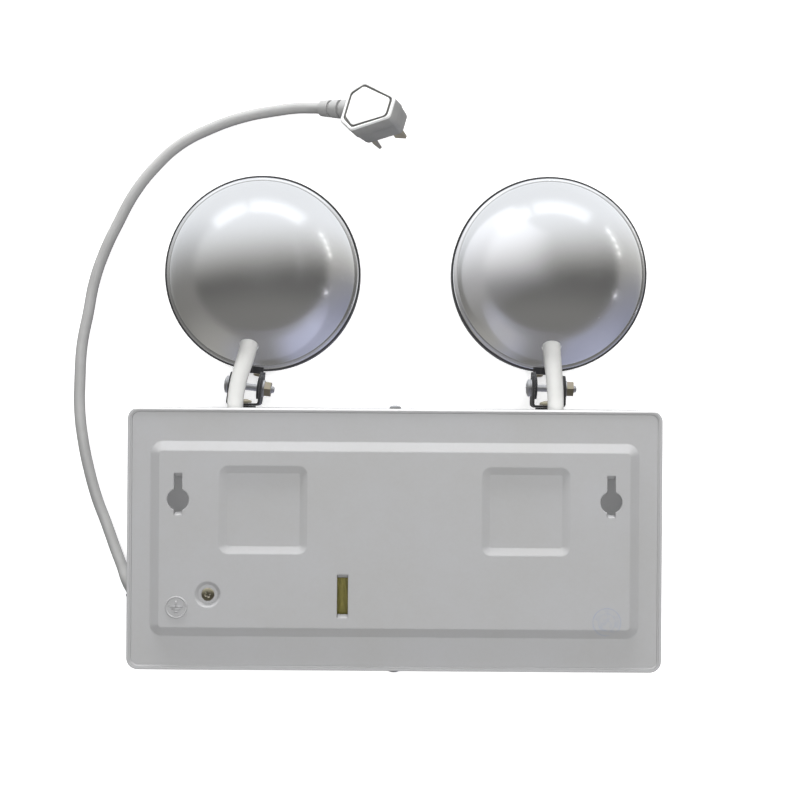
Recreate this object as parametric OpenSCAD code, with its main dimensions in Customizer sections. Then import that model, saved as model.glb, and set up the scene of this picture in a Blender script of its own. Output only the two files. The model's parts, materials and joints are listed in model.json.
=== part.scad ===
// Twin head emergency light, lying on its face as it does for wiring.
// +Z leaves the back plate, +Y points to the lamp heads, +X is right seen from behind.
// The origin is the middle of the cover's front face.

/* [Case] */
// Width of the case
case_w = 255; // [245:1:290]
// Height of the case without the lamp heads
case_h = 125; // [115:1:150]
// Depth of the front cover
case_d = 48; // [46:0.5:60]
// Radius of the upright corners
corner_r = 5.5; // [4:0.5:8]
// Radius of the bend round the front face
front_r = 2.5; // [2:0.5:3.5]
// Thickness of the cover's sheet
cover_t = 1.2; // [1:0.1:1.6]

/* [Back plate] */
// Thickness of the back plate's sheet
plate_t = 1; // [0.8:0.1:1.2]
// How deep the plate sits inside the cover's edge
plate_inset = 0.4; // [0.2:0.1:1]
// Height of the turned-in flange round the plate
flange_h = 3.5; // [3:0.5:4]
// Flat border left and right of the raised panel
border_side = 11; // [9:0.5:14]
// Flat border above and below the raised panel
border_top = 16; // [13:0.5:18]
// Height of the raised panel over the border
panel_rise = 2.5; // [2:0.1:3]
// Width of the slope round the panel
panel_slope = 4.5; // [3.5:0.5:6]
// Corner radius of the raised panel
panel_r = 6; // [5.5:0.5:8]
// Width of the recessed squares
pad_w = 42; // [36:1:46]
// Depth of the recessed squares
pad_depth = 1.6; // [1.2:0.1:2]
// Width of the slope round the recessed squares
pad_slope = 3.6; // [3:0.2:4]
// Corner radius of the recessed squares
pad_r = 4.4; // [4.2:0.2:6]
// Distance from the case's sides to the recessed squares' centres
pad_side = 65; // [60:1:68]
// Distance from the case's top to the recessed squares
pad_top = 27.5; // [26:0.5:32]
// Distance from the case's bottom to the recessed squares
pad_bottom = 55.5; // [54:0.5:58]

/* [Wall keyholes] */
// Distance from the case's sides to the keyholes
key_side = 24.5; // [24:0.5:28]
// Distance from the case's top to the keyholes
key_top = 43.8; // [43:0.1:48]
// Radius of the keyhole's round part
key_r = 5.2; // [5.1:0.1:6]
// Width of the keyhole's neck
key_neck_w = 3.9; // [3.5:0.1:3.9]
// Reach of the neck above the round part's centre
key_neck_h = 12.5; // [10:0.5:14]
// Reach of the foot under the round part's centre
key_foot_h = 7.4; // [7:0.1:8]

/* [Lamp heads] */
// Distance from the case's sides to the brackets
bracket_side = 52; // [50:0.5:56]
// Height of the tilt axis over the case
pivot_h = 10.5; // [10:0.1:12]
// Height of the head's centre over the case
head_h = 68; // [67.6:0.2:74]
// Outer radius of the bezel ring
bezel_r = 49.2; // [47:0.1:49.4]
// Depth of the bezel ring
bezel_d = 10.4; // [9.5:0.1:11.5]
// Thickness of the bezel ring's wall
bezel_t = 0.9; // [0.8:0.1:1.2]
// Wall of the domed shell
shell_t = 1.8; // [1.4:0.1:2.2]
// Width of the flat step round the dome
step_w = 1.5; // [1.4:0.1:2.4]
// Height of the dome over its step
dome_h = 37; // [36:0.5:40]
// Distance from the head's centre to the sleeve's hole
inlet_drop = 37.5; // [36:0.5:38]
// Lean of the left bracket's legs, towards the middle
lean_left = 6.8; // [0:0.1:7]
// Lean of the right bracket's legs, away from the middle
lean_right = 1.1; // [0:0.1:5]

/* [Brackets] */
// Thickness of the black sheet
sheet_t = 1.2; // [1:0.1:1.4]
// Outside width over the lower bracket's legs
bracket_w = 16.6; // [16.4:0.1:18]
// Depth of the lower bracket's legs
leg_d = 13; // [11:0.5:13]
// Play between the fork's ears and the legs
fork_play = 0.2; // [0.15:0.05:0.3]
// Diameter of the tilt screw
pivot_screw_d = 4; // [3:0.5:4.5]
// Diameter of the swivel screw
swivel_screw_d = 5; // [4:0.5:5.5]

/* [Lead sleeves] */
// Radius of the sleeve at the case
sleeve_r = 3.8; // [3.6:0.1:4.1]
// Radius of the sleeve at the dome
sleeve_top_r = 4.4; // [4:0.1:4.6]
// Bore of the sleeve
sleeve_bore_r = 2.9; // [2.4:0.1:3]

/* [Power cord] */
// Diameter of the cord
cord_d = 5.6; // [5:0.1:6]
// Length of the plug's strain relief
collar_len = 18; // [16:0.5:20]
// Length of the line and neutral pins
pin_len = 7.5; // [7:0.5:8]

/* [Hidden] */

// Left and right, as signs along X
LEFT = -1;
RIGHT = 1;

// Sides of round shapes, of revolved shells and of rounded outlines
$fn = 48;
shell_fn = 96;
blend_fn = 32;

// Overrun of a cut past the face that it opens, and the thickness of a hull's end slab
cut = 1;
slab = 0.01;

// Fits: a plate in its frame, a screw in its hole, a turning screw, a piece against its seat
plate_gap = 0.3;
hole_gap = 0.2;
turn_gap = 0.06;
seat_gap = 0.1;

// Heights of the back plate
plate_top = case_d - plate_inset;
plate_z = plate_top - plate_t;
panel_top = plate_top + panel_rise;
panel_under = panel_top - plate_t;
plate_w = case_w - 2 * cover_t - 2 * plate_gap;
plate_h = case_h - 2 * cover_t - 2 * plate_gap;
plate_r = corner_r - cover_t - plate_gap;
panel_w = case_w - 2 * border_side;
panel_h = case_h - 2 * border_top;
pad_pitch = case_w - 2 * pad_side;
pad_h = case_h - pad_top - pad_bottom;
pad_y = (pad_bottom - pad_top) / 2;
key_pitch = case_w - 2 * key_side;
key_y = case_h / 2 - key_top;
bracket_pitch = case_w - 2 * bracket_side;

// Window in the plate, over the battery
window_w = 5.2;
window_h = 20.5;
window_left = 103;
window_low = 35.7;
window_x = window_left - case_w / 2;
window_y = window_low - case_h / 2;

// Tabs that the press turned in at the ends of the keyholes and of the window
tab_len = 2.6;
tab_angle = 50;

// Dimple of the earth screw
dimple_left = 38.9;
dimple_low = 36.1;
dimple_x = dimple_left - case_w / 2;
dimple_y = dimple_low - case_h / 2;
dimple_r = 6.2;
dimple_floor_r = 4.6;
dimple_depth = 1.4;
earth_screw_d = 4;
earth_head_r = 3.1;
earth_head_h = 1.3;
earth_screw_len = 9;

// Cover screws, in the middle of the top and bottom walls
cover_screw_d = 3;
cover_head_r = 2.8;
cover_head_h = 1.7;
cover_screw_len = 7;
ear_w = 12;
ear_h = 9;
cover_screw_z = plate_z - ear_h / 2;

// Battery of three cells side by side, behind the window
cell_r = 7.2;
cell_len = 50;
cell_count = 3;
battery_drop = 4.6;
battery_top = panel_under - battery_drop;
battery_z = battery_top - cell_r;
battery_w = 2 * cell_r * cell_count;
strap_w = 7;
strap_t = 0.8;
strap_foot = 7;
strap_gap = 0.25;
strap_y = window_y + window_h / 2 + strap_w / 2 + strap_gap;
battery_pad_w = 30;

// Control board on four posts of the cover
board_w = 108;
board_h = 46;
board_t = 1.6;
board_right = 83.5;
board_low = 30.5;
board_x = case_w / 2 - board_right;
board_y = board_low - case_h / 2;
board_z = 16;
post_r = 3.2;
post_inset = 5;
board_screw_d = 2.6;
board_head_r = 2.4;
board_head_h = 1.6;
board_screw_len = 8;

// Transformer, terminal block and the taller parts on the board
core_w = 32;
core_d = 12;
core_gap = 4.5;
core_h = panel_under - board_z - board_t - core_gap;
coil_w = 20;
coil_d = 20;
core_inset = 4;
transformer_x = board_x + board_w / 2 - core_w / 2 - core_inset;
transformer_y = board_y;
transformer_lift = 6;
block_w = 28;
block_h = 10;
block_d = 9;
block_inset = 12;
block_x = board_x - board_w / 2 + block_w / 2 + block_inset;
block_edge = 2;
block_y = board_y - board_h / 2 + block_h / 2 + block_edge;
block_screw_r = 2.2;
block_ways = 3;
cap_r = 5;
cap_h = 15;
cap_small_r = 4;
cap_small_h = 11;
relay_w = 15;
relay_h = 18;
relay_d = 11;
parts_right = 10;
parts_x = board_x + parts_right;

// Indicator lights and the test button in the front face
light_r = 2.4;
light_flange_r = 2.9;
light_h = 8.6;
light_flange_h = 1;
light_pitch = 12;
light_left = 30;
light_x = board_x - light_left;
panel_row_drop = 2;
panel_row_y = board_y - panel_row_drop;
front_recess = 0.3;
button_r = 4.9;
button_right = 12;
button_x = board_x + button_right;
button_cap_h = 4;
button_flange_r = 6.2;
button_flange_h = 1;
button_stem_r = 1.5;
button_travel = 1.5;
switch_w = 6;
switch_h = 4;
switch_plunger_r = 1.6;
switch_plunger_h = 1;
guide_t = 1.2;
spring_wire_r = 0.3;
spring_turns = 6;
spring_steps = 10;

// Cord gland in the left wall, its nose leaning up along the wall
gland_low = 22.5;
gland_y = gland_low - case_h / 2;
gland_z = 9;
gland_hole_r = 5.2;
gland_flange_r = 7.4;
gland_flange_t = 1.5;
gland_lock_r = 6.4;
gland_lock_t = 2;
gland_tail = 6;
gland_nose = 10.5;
gland_nose_r = 4.7;
gland_tip_r = 3.7;
gland_lean = 62;

// Head stack along its axis, from the front
head_z = 0.6;
lip_t = 1.5;
lip_w = 3.6;
lens_t = 2;
gasket_t = 1;
gasket_w = 2;
reflector_flange_t = 1;
ring_inner_r = bezel_r - bezel_t;
stack_r = ring_inner_r - hole_gap;
lens_z = head_z + lip_t;
gasket_z = lens_z + lens_t;
reflector_z = gasket_z + gasket_t;
shell_z = reflector_z + reflector_flange_t;
ring_top = head_z + bezel_d;
rim_rise = 1.6;
step_z = ring_top + rim_rise;
dome_r = stack_r - step_w;
shoulder_w = 2.4;
sphere_r = (pow(dome_r, 2) + pow(dome_h, 2)) / (2 * dome_h);
sphere_z = step_z + dome_h - sphere_r;
mouth_r = dome_r - shell_t - 0.6;
neck_r = 13;
reflector_t = 1.2;
reflector_depth = 27;
reflector_steps = 10;
led_board_r = 17;
led_board_t = 1.6;
led_board_z = reflector_z + reflector_depth + reflector_t + seat_gap;
led_post_r = 2.6;
led_post_ring = 13;
led_post_count = 3;
led_count = 6;
led_ring = 7.5;
led_r = 1.75;
led_h = 1.2;
led_base = 3.5;
inlet_r = sleeve_top_r + 2 * hole_gap;
inlet_z = sphere_z + sqrt(pow(sphere_r, 2) - pow(inlet_drop, 2));
inlet_dive = acos(inlet_drop / sphere_r);

// Bracket and fork
pivot_under = 28;
pivot_z = case_d - pivot_under;
washer_t = 0.8;
swivel_washer_r = 6;
base_z = washer_t + seat_gap;
leg_x = bracket_w / 2 - sheet_t;
fork_w = 2 * (leg_x - fork_play);
ear_r = 5.5;
bend_r = 0.8;
fork_tab_y = head_h - bezel_r - seat_gap;
fork_hook_z = step_z + seat_gap;
fork_hook_h = step_w + bezel_t;
fork_front_z = head_z + 1.4;
fork_screw_x = 3.4;
fork_screw_z = head_z + bezel_d / 2;
fork_screw_d = 2.6;
fork_head_r = 2.2;
fork_head_h = 1.4;
fork_screw_len = sheet_t + seat_gap + bezel_t;
pivot_head_r = 4.4;
pivot_head_h = 1.9;
pivot_nut_r = 4.04;
pivot_nut_h = 3.2;
pivot_washer_r = 4.2;
pivot_end = 1.6;
swivel_head_r = 4;
swivel_head_h = 2.2;
swivel_nut_r = 4.6;
swivel_nut_h = 4;
swivel_end = 1.5;

// Lead sleeve: where it leaves the case, and how its top bends into the dome
sleeve_under = 9.5;
sleeve_z = case_d - sleeve_under;
sleeve_out = 2;
sleeve_hole_r = sleeve_r + 2 * hole_gap;
sleeve_tail = 8;
sleeve_plunge = 6;
sleeve_sides = 14;
sleeve_steps = 8;
sleeve_share = 0.4;

// Plug: place of the strain relief's seat, turn of the plug about X, Y and Z
plug_at = [-23, 212, 15];
plug_turn = [-22, -30, -9];
collar_r = 5.2;
collar_tip_r = 4;
collar_groove_w = 1.6;
collar_groove_r = 3.4;
plug_back = 7;
plug_slab = 9;
plug_depth = 18;
plug_corner_r = 2.5;
corner_steps = 4;
plug_panel_inset = 2.4;
plug_groove_w = 0.8;
plug_groove_d = 0.6;
plug_foot_inset = 1.6;
plug_neck_half = 8.6;
plug_wide_half = 13.4;
plug_wide_x = 8;
plug_nose_half = 5.4;
plug_nose_x = 28;
pin_w = 6.3;
pin_t = 1.6;
pin_side_x = 9.5;
pin_side_y = 7.9;
pin_side_turn = 30;
earth_pin_x = 19;
earth_pin_more = 3;

// Route of the free cord over the table, from the gland round the left head to the plug
cord_route = [
    [-138, -19, 6.4], [-142, -10, 4.2], [-147, 3, 3], [-152, 16, 2.8], [-156, 30, 2.8],
    [-159, 44, 2.8], [-161, 60, 2.8], [-161, 77, 2.8], [-160, 94, 2.8], [-157, 110, 2.8],
    [-154, 126, 2.8], [-149, 141, 2.8], [-142, 156, 2.8], [-134, 171, 2.8],
    [-124, 184, 2.8], [-111, 196, 2.8], [-95, 204.5, 2.8], [-78.5, 210.4, 2.8], [-61, 213.9, 2.8],
    [-51, 215.2, 2.8],
];

cover_white = [0.93, 0.93, 0.92];
plate_grey = [0.74, 0.74, 0.75];
shell_white = [0.95, 0.95, 0.96];
black = [0.06, 0.06, 0.07];
zinc = [0.72, 0.66, 0.42];
steel = [0.7, 0.71, 0.72];

// Helpers for swept tubes
function unit(v) = v / norm(v);
function bezier(a, b, c, d, t) =
    pow(1 - t, 3) * a + 3 * pow(1 - t, 2) * t * b + 3 * (1 - t) * t * t * c + pow(t, 3) * d;
function turn_z(v, a) = [v[0] * cos(a) - v[1] * sin(a), v[0] * sin(a) + v[1] * cos(a), v[2]];
function heading(path, i) =
    unit(path[min(i + 1, len(path) - 1)] - path[max(i - 1, 0)]);
function ring(p, t, r, sides, up) =
    let (side = unit(cross(t, up)), over = cross(side, t))
    [for (k = [0 : sides - 1]) p + r * cos(360 * k / sides) * side + r * sin(360 * k / sides) * over];
function skin(first, rings, sides) = [
    for (i = [0 : rings - 2], k = [0 : sides - 1])
        let (a = first + i * sides + k, b = first + i * sides + (k + 1) % sides)
        [a, a + sides, b + sides, b]
];

// Points of an arc that rounds the corner v between p and n, for outlines that run either way
function corner_arc(p, v, n, r) =
    let (
        a = unit(p - v), b = unit(n - v), half = acos(a * b) / 2,
        c = v + unit(a + b) * r / sin(half),
        d = v + a * r / tan(half) - c,
        way = a[0] * b[1] - a[1] * b[0] < 0 ? 1 : -1,
        sweep = way * acos(-(a * b))
    )
    [for (k = [0 : corner_steps])
        let (t = sweep * k / corner_steps)
        c + [d[0] * cos(t) - d[1] * sin(t), d[0] * sin(t) + d[1] * cos(t)]];
function round_off(pts, r) =
    let (m = len(pts))
    [for (i = [0 : m - 1]) each corner_arc(pts[(i + m - 1) % m], pts[i], pts[(i + 1) % m], r)];

// Solid tube of one radius along a path
module swept_rod(path, r, sides, up = [0, 0, 1]) {
    n = len(path);
    points = [for (i = [0 : n - 1]) each ring(path[i], heading(path, i), r, sides, up)];
    caps = [
        [for (k = [0 : sides - 1]) k],
        [for (k = [sides - 1 : -1 : 0]) (n - 1) * sides + k],
    ];
    polyhedron(points, concat(skin(0, n, sides), caps));
}

// Hollow tube along a path, with a radius at each end
module swept_pipe(path, r0, r1, bore, sides, up) {
    n = len(path);
    outer = [for (i = [0 : n - 1])
        each ring(path[i], heading(path, i), r0 + (r1 - r0) * i / (n - 1), sides, up)];
    inner = [for (i = [0 : n - 1]) each ring(path[i], heading(path, i), bore, sides, up)];
    m = n * sides;
    last = (n - 1) * sides;
    ends = [for (k = [0 : sides - 1]) each let (j = (k + 1) % sides) [
        [k, j, m + j, m + k],
        [last + j, last + k, m + last + k, m + last + j],
    ]];
    inside = [for (f = skin(m, n, sides)) [f[3], f[2], f[1], f[0]]];
    polyhedron(concat(outer, inner), concat(skin(0, n, sides), inside, ends));
}

// Rounded rectangle about the origin
module rounded(w, h, r) {
    square([w - 2 * r, h], center = true);
    square([w, h - 2 * r], center = true);
    for (x = [-1, 1], y = [-1, 1])
        translate([x * (w / 2 - r), y * (h / 2 - r)]) circle(r);
}

// Pressed form: w by h on z = 0, narrowing by a slope up to a rise, and running on below by more
module pressed_form(w, h, r, slope, rise, more) {
    spread = more * slope / rise;
    hull() {
        for (x = [-1, 1], y = [-1, 1])
            translate([x * (w / 2 - r), y * (h / 2 - r), -more])
                cylinder(h = rise + more, r1 = r + spread, r2 = r - slope, $fn = blend_fn);
    }
}

// Screw along +Z whose head sits on z = 0 and whose shank goes down
module pan_screw(shank_d, len, head_r, head_h) {
    translate([0, 0, -len]) cylinder(h = len, d = shank_d);
    rotate_extrude() intersection() {
        translate([0, head_h - head_r * 2]) circle(head_r * 2);
        square([head_r, head_h]);
    }
}

// Hexagon nut on +Z over z = 0, bored for a screw
module hex_nut(r, h, bore_d) {
    difference() {
        cylinder(h = h, r = r, $fn = 6);
        translate([0, 0, -cut]) cylinder(h = h + 2 * cut, d = bore_d + 2 * turn_gap);
    }
}

// Flat washer on +Z over z = 0
module washer(r, t, bore_d) {
    difference() {
        cylinder(h = t, r = r);
        translate([0, 0, -cut]) cylinder(h = t + 2 * cut, d = bore_d + 2 * turn_gap);
    }
}

// Places children on the top wall's outer face, Z of the child pointing up the light
module on_top(x, z) {
    translate([x, case_h / 2, z]) rotate([-90, 0, 0]) children();
}

// Places children in the frame of one lamp head: y = 0 on the case, leaning with the legs
module at_head(side) {
    lean = side == LEFT ? lean_left : lean_right;
    translate([side * bracket_pitch / 2, case_h / 2, 0]) rotate([0, 0, -lean]) children();
}

// Places children on the tilt axis, their Z along the axis to the right
module on_pivot() {
    translate([0, pivot_h, pivot_z]) rotate([0, 90, 0]) children();
}

// A plate in the YZ plane between two places on X, from an outline drawn in Y and Z
module side_plate(x0, t) {
    translate([x0, 0, 0]) rotate([90, 0, 90]) linear_extrude(t) children();
}

// Back plate

module keyhole_cut(x) {
    translate([x, key_y, plate_z]) {
        cylinder(h = panel_top, r = key_r);
        translate([-key_neck_w / 2, 0, 0]) cube([key_neck_w, key_neck_h, panel_top]);
        translate([-key_neck_w / 2, -key_foot_h, 0]) cube([key_neck_w, key_foot_h, panel_top]);
    }
}

// A tab turned in from the end of a cut-out: y is the end, way is -1 for an upper end
module turned_tab(x, y, w, way) {
    translate([x - w / 2 + seat_gap, y - way * plate_t / 2, panel_under + plate_t / 2])
        rotate([-way * tab_angle, 0, 0])
            translate([0, way > 0 ? 0 : -tab_len, -plate_t / 2])
                cube([w - 2 * seat_gap, tab_len, plate_t]);
}

module plate_sheet() {
    translate([0, 0, plate_z]) linear_extrude(plate_t) rounded(plate_w, plate_h, plate_r);
    translate([0, 0, plate_z - flange_h]) linear_extrude(flange_h + plate_t / 2) difference() {
        rounded(plate_w, plate_h, plate_r);
        rounded(plate_w - 2 * plate_t, plate_h - 2 * plate_t, plate_r - plate_t);
    }
    translate([0, 0, plate_top])
        pressed_form(panel_w, panel_h, panel_r, panel_slope, panel_rise, plate_t / 2);
    for (s = [LEFT, RIGHT])
        translate([-ear_w / 2, s * plate_h / 2 - (s > 0 ? plate_t : 0), plate_z - ear_h])
            cube([ear_w, plate_t, ear_h + plate_t / 2]);
}

// Recessed square, hanging down from a height
module pad_form(side, z) {
    translate([side * pad_pitch / 2, pad_y, z]) mirror([0, 0, 1])
        pressed_form(pad_w, pad_h, pad_r, pad_slope, pad_depth, plate_t / 2);
}

module dimple_form(grow, z) {
    spread = (dimple_r - dimple_floor_r) * plate_t / dimple_depth / 2;
    translate([dimple_x, dimple_y, z - dimple_depth])
        cylinder(h = dimple_depth + plate_t / 2, r1 = dimple_floor_r + grow, r2 = dimple_r + spread + grow);
}

module back_plate() {
    color(plate_grey) union() {
        difference() {
            union() {
                difference() {
                    plate_sheet();
                    translate([0, 0, plate_z])
                        pressed_form(panel_w, panel_h, panel_r, panel_slope, panel_rise, plate_t / 2);
                }
                for (s = [LEFT, RIGHT]) pad_form(s, panel_under);
                dimple_form(plate_t, panel_under);
            }
            for (s = [LEFT, RIGHT]) pad_form(s, panel_top);
            dimple_form(0, panel_top);
            for (s = [LEFT, RIGHT]) keyhole_cut(s * key_pitch / 2);
            translate([window_x - window_w / 2, window_y - window_h / 2, plate_z])
                cube([window_w, window_h, panel_top]);
            translate([dimple_x, dimple_y, plate_z])
                cylinder(h = panel_top, r = earth_screw_d / 2 + hole_gap);
            translate([0, 0, cover_screw_z]) rotate([90, 0, 0])
                cylinder(h = case_h, r = cover_screw_d / 2 + hole_gap, center = true);
        }
        for (s = [LEFT, RIGHT]) {
            turned_tab(s * key_pitch / 2, key_y + key_neck_h, key_neck_w, -1);
            turned_tab(s * key_pitch / 2, key_y - key_foot_h, key_neck_w, 1);
        }
        turned_tab(window_x, window_y + window_h / 2, window_w, -1);
        turned_tab(window_x, window_y - window_h / 2, window_w, 1);
    }
}

// Front cover

module bent_outline(w) {
    translate([-w / 2, front_r]) square([w, case_d - front_r]);
    translate([0, case_d / 2]) rounded(w, case_d, front_r);
}

module cover_block() {
    intersection() {
        linear_extrude(case_d) rounded(case_w, case_h, corner_r);
        rotate([90, 0, 0]) linear_extrude(case_h + 2 * cut, center = true) bent_outline(case_w);
        rotate([90, 0, 90]) linear_extrude(case_w + 2 * cut, center = true) bent_outline(case_h);
    }
}

module board_posts(r, h) {
    for (x = [-1, 1], y = [-1, 1])
        translate([board_x + x * (board_w / 2 - post_inset), board_y + y * (board_h / 2 - post_inset), 0])
            cylinder(h = h, r = r);
}

module front_cover() {
    color(cover_white) difference() {
        union() {
            difference() {
                cover_block();
                translate([0, 0, cover_t]) linear_extrude(case_d)
                    rounded(case_w - 2 * cover_t, case_h - 2 * cover_t, corner_r - cover_t);
            }
            translate([0, 0, cover_t - slab]) board_posts(post_r, board_z - cover_t + slab);
            translate([button_x, panel_row_y, cover_t - slab])
                cylinder(h = button_cap_h, r = button_flange_r + hole_gap + guide_t);
        }
        translate([0, 0, cover_t]) board_posts(board_screw_d / 2 + turn_gap, board_z);
        translate([button_x, panel_row_y, -cut]) cylinder(h = case_d, r = button_r + hole_gap);
        translate([button_x, panel_row_y, cover_t]) cylinder(h = case_d, r = button_flange_r + hole_gap);
        for (i = [0 : 2])
            translate([light_x + i * light_pitch, panel_row_y, -cut])
                cylinder(h = cover_t + 2 * cut, r = light_r + hole_gap);
        for (s = [LEFT, RIGHT]) {
            on_top(s * bracket_pitch / 2, pivot_z)
                cylinder(h = 2 * corner_r, r = swivel_screw_d / 2 + turn_gap, center = true);
            on_top(s * (bracket_pitch / 2 + sleeve_out), sleeve_z)
                cylinder(h = 2 * corner_r, r = sleeve_hole_r, center = true);
        }
        translate([-case_w / 2, gland_y, gland_z]) rotate([0, 90, 0])
            cylinder(h = 2 * corner_r, r = gland_hole_r, center = true);
        translate([0, 0, cover_screw_z]) rotate([90, 0, 0])
            cylinder(h = case_h + 2 * cut, r = cover_screw_d / 2 + hole_gap, center = true);
    }
}

module cover_screws() {
    color(steel) for (s = [LEFT, RIGHT])
        translate([0, s * case_h / 2, cover_screw_z]) rotate([-s * 90, 0, 0])
            pan_screw(cover_screw_d, cover_screw_len, cover_head_r, cover_head_h);
}

module earth_screw() {
    color(zinc) translate([dimple_x, dimple_y, panel_top - dimple_depth])
        pan_screw(earth_screw_d, earth_screw_len, earth_head_r, earth_head_h);
}

module earth_nut() {
    color(zinc) translate([dimple_x, dimple_y, panel_under - dimple_depth - pivot_nut_h])
        hex_nut(pivot_nut_r, pivot_nut_h, earth_screw_d);
}

// Battery, its pad and its strap

module cells_outline(grow) {
    half = battery_w / 2 - cell_r;
    for (i = [0 : cell_count - 1]) translate([i * 2 * cell_r - half, 0]) circle(cell_r + grow);
    translate([-half, -cell_r - grow]) square([2 * half, 2 * (cell_r + grow)]);
}

module battery_pack() {
    color([0.55, 0.58, 0.2]) translate([window_x, window_y + cell_len / 2, battery_z])
        rotate([90, 0, 0]) linear_extrude(cell_len) cells_outline(0);
}

module battery_strap() {
    reach = battery_drop - strap_t;
    color(steel) translate([window_x, strap_y + strap_w / 2, battery_z]) rotate([90, 0, 0])
        linear_extrude(strap_w) {
            difference() {
                union() {
                    cells_outline(seat_gap + strap_t);
                    translate([-battery_w / 2 - seat_gap - strap_t, 0])
                        square([battery_w + 2 * (seat_gap + strap_t), cell_r + reach]);
                }
                cells_outline(seat_gap);
                translate([-battery_w / 2 - seat_gap, 0])
                    square([battery_w + 2 * seat_gap, cell_r + battery_drop + cut]);
            }
            for (s = [LEFT, RIGHT])
                translate([s * (battery_w / 2 + seat_gap + strap_foot / 2), cell_r + reach + strap_t / 2])
                    square([strap_foot, strap_t], center = true);
        }
}

module battery_pad() {
    color([0.2, 0.2, 0.2])
        translate([window_x - battery_pad_w / 2, strap_y - strap_w / 2, battery_top])
            cube([battery_pad_w, strap_w, battery_drop]);
}

// Control board and what it carries

module control_board() {
    color([0.1, 0.4, 0.2]) difference() {
        translate([board_x - board_w / 2, board_y - board_h / 2, board_z]) cube([board_w, board_h, board_t]);
        translate([0, 0, board_z - cut]) board_posts(board_screw_d / 2 + hole_gap, board_t + 2 * cut);
    }
}

module board_screws() {
    color(steel) for (x = [-1, 1], y = [-1, 1])
        translate([
            board_x + x * (board_w / 2 - post_inset),
            board_y + y * (board_h / 2 - post_inset),
            board_z + board_t
        ]) pan_screw(board_screw_d, board_screw_len, board_head_r, board_head_h);
}

module board_parts() {
    color([0.2, 0.25, 0.5]) translate([parts_x, board_y, board_z + board_t]) {
        translate([0, -cap_r - cap_small_r, 0]) cylinder(h = cap_h, r = cap_r);
        translate([0, cap_small_r, 0]) cylinder(h = cap_small_h, r = cap_small_r);
        translate([-relay_w - cap_r - cap_small_r, -relay_h / 2, 0]) cube([relay_w, relay_h, relay_d]);
    }
}

module transformer() {
    color([0.3, 0.3, 0.32]) translate([transformer_x, transformer_y, board_z + board_t]) {
        translate([-core_w / 2, -core_d / 2, 0]) cube([core_w, core_d, core_h]);
        translate([0, 0, transformer_lift]) linear_extrude(core_h - 2 * transformer_lift)
            rounded(coil_w, coil_d, cap_small_r);
    }
}

module terminal_block() {
    color([0.85, 0.85, 0.8]) translate([block_x, block_y, board_z + board_t]) difference() {
        translate([-block_w / 2, -block_h / 2, 0]) cube([block_w, block_h, block_d]);
        for (i = [0 : block_ways - 1])
            translate([(i - (block_ways - 1) / 2) * block_w / block_ways, 0, block_d / 2])
                cylinder(h = block_d, r = block_screw_r);
    }
}

// Front face: lights, button, spring and switch

module indicator(i, shade) {
    color(shade) translate([light_x + i * light_pitch, panel_row_y, front_recess]) {
        translate([0, 0, light_r]) cylinder(h = light_h - light_r, r = light_r);
        intersection() {
            translate([0, 0, light_r]) sphere(light_r);
            cylinder(h = light_r + slab, r = light_r);
        }
        translate([0, 0, cover_t]) cylinder(h = light_flange_h, r = light_flange_r);
        translate([0, 0, cover_t]) cylinder(h = board_z - cover_t - front_recess, r = light_r / 2);
    }
}

module mains_light() { indicator(0, "green"); }
module charge_light() { indicator(1, "red"); }
module fault_light() { indicator(2, "gold"); }

switch_top = board_z - switch_h;
plunger_top = switch_top - switch_plunger_h;

module button_switch() {
    color(black) translate([button_x, panel_row_y, 0]) {
        translate([-switch_w / 2, -switch_w / 2, switch_top]) cube([switch_w, switch_w, switch_h]);
        translate([0, 0, plunger_top]) cylinder(h = switch_plunger_h, r = switch_plunger_r);
    }
}

module test_button() {
    color([0.8, 0.1, 0.1]) translate([button_x, panel_row_y, 0]) {
        translate([0, 0, front_recess]) cylinder(h = button_cap_h, r = button_r);
        translate([0, 0, cover_t + seat_gap]) cylinder(h = button_flange_h, r = button_flange_r);
        translate([0, 0, front_recess])
            cylinder(h = plunger_top - button_travel - hole_gap - front_recess, r = button_stem_r);
    }
}

spring_r = switch_w / 2 - 2 * spring_wire_r;
spring_low = front_recess + button_cap_h + spring_wire_r + seat_gap;
spring_high = switch_top - spring_wire_r - seat_gap;

module button_spring() {
    steps = spring_turns * spring_steps;
    path = [for (i = [0 : steps]) [
        spring_r * cos(360 * i / spring_steps),
        spring_r * sin(360 * i / spring_steps),
        spring_low + (spring_high - spring_low) * i / steps
    ]];
    color(steel) translate([button_x, panel_row_y, 0]) swept_rod(path, spring_wire_r, 6);
}

// Cord gland, cord and plug

gland_dir = [-cos(gland_lean), sin(gland_lean), 0];
gland_seat = [-case_w / 2, gland_y, gland_z];
gland_tip = gland_seat + gland_nose * gland_dir;

module cord_gland() {
    color(black) {
        translate(gland_seat) rotate([0, -90, 0]) {
            cylinder(h = gland_flange_t, r = gland_flange_r);
            translate([0, 0, -cover_t - gland_tail]) cylinder(h = gland_tail + cover_t + slab, r = gland_hole_r - seat_gap);
            translate([0, 0, -cover_t - seat_gap - gland_lock_t]) cylinder(h = gland_lock_t, r = gland_lock_r);
        }
        intersection() {
            translate(gland_seat) rotate([0, 0, 180 - gland_lean]) rotate([0, 90, 0])
                cylinder(h = gland_nose, r1 = gland_nose_r, r2 = gland_tip_r);
            translate(gland_seat - [case_w, case_h, case_d]) cube([case_w, 2 * case_h, 2 * case_d]);
        }
    }
}

plug_axis = [cos(plug_turn[1]) * cos(plug_turn[2]), cos(plug_turn[1]) * sin(plug_turn[2]), -sin(plug_turn[1])];
cord_end = plug_at - collar_len * plug_axis;
cord_path = concat(
    [gland_tip, gland_tip + cord_d * gland_dir],
    cord_route,
    [cord_end - cord_d * plug_axis, cord_end]
);

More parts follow.
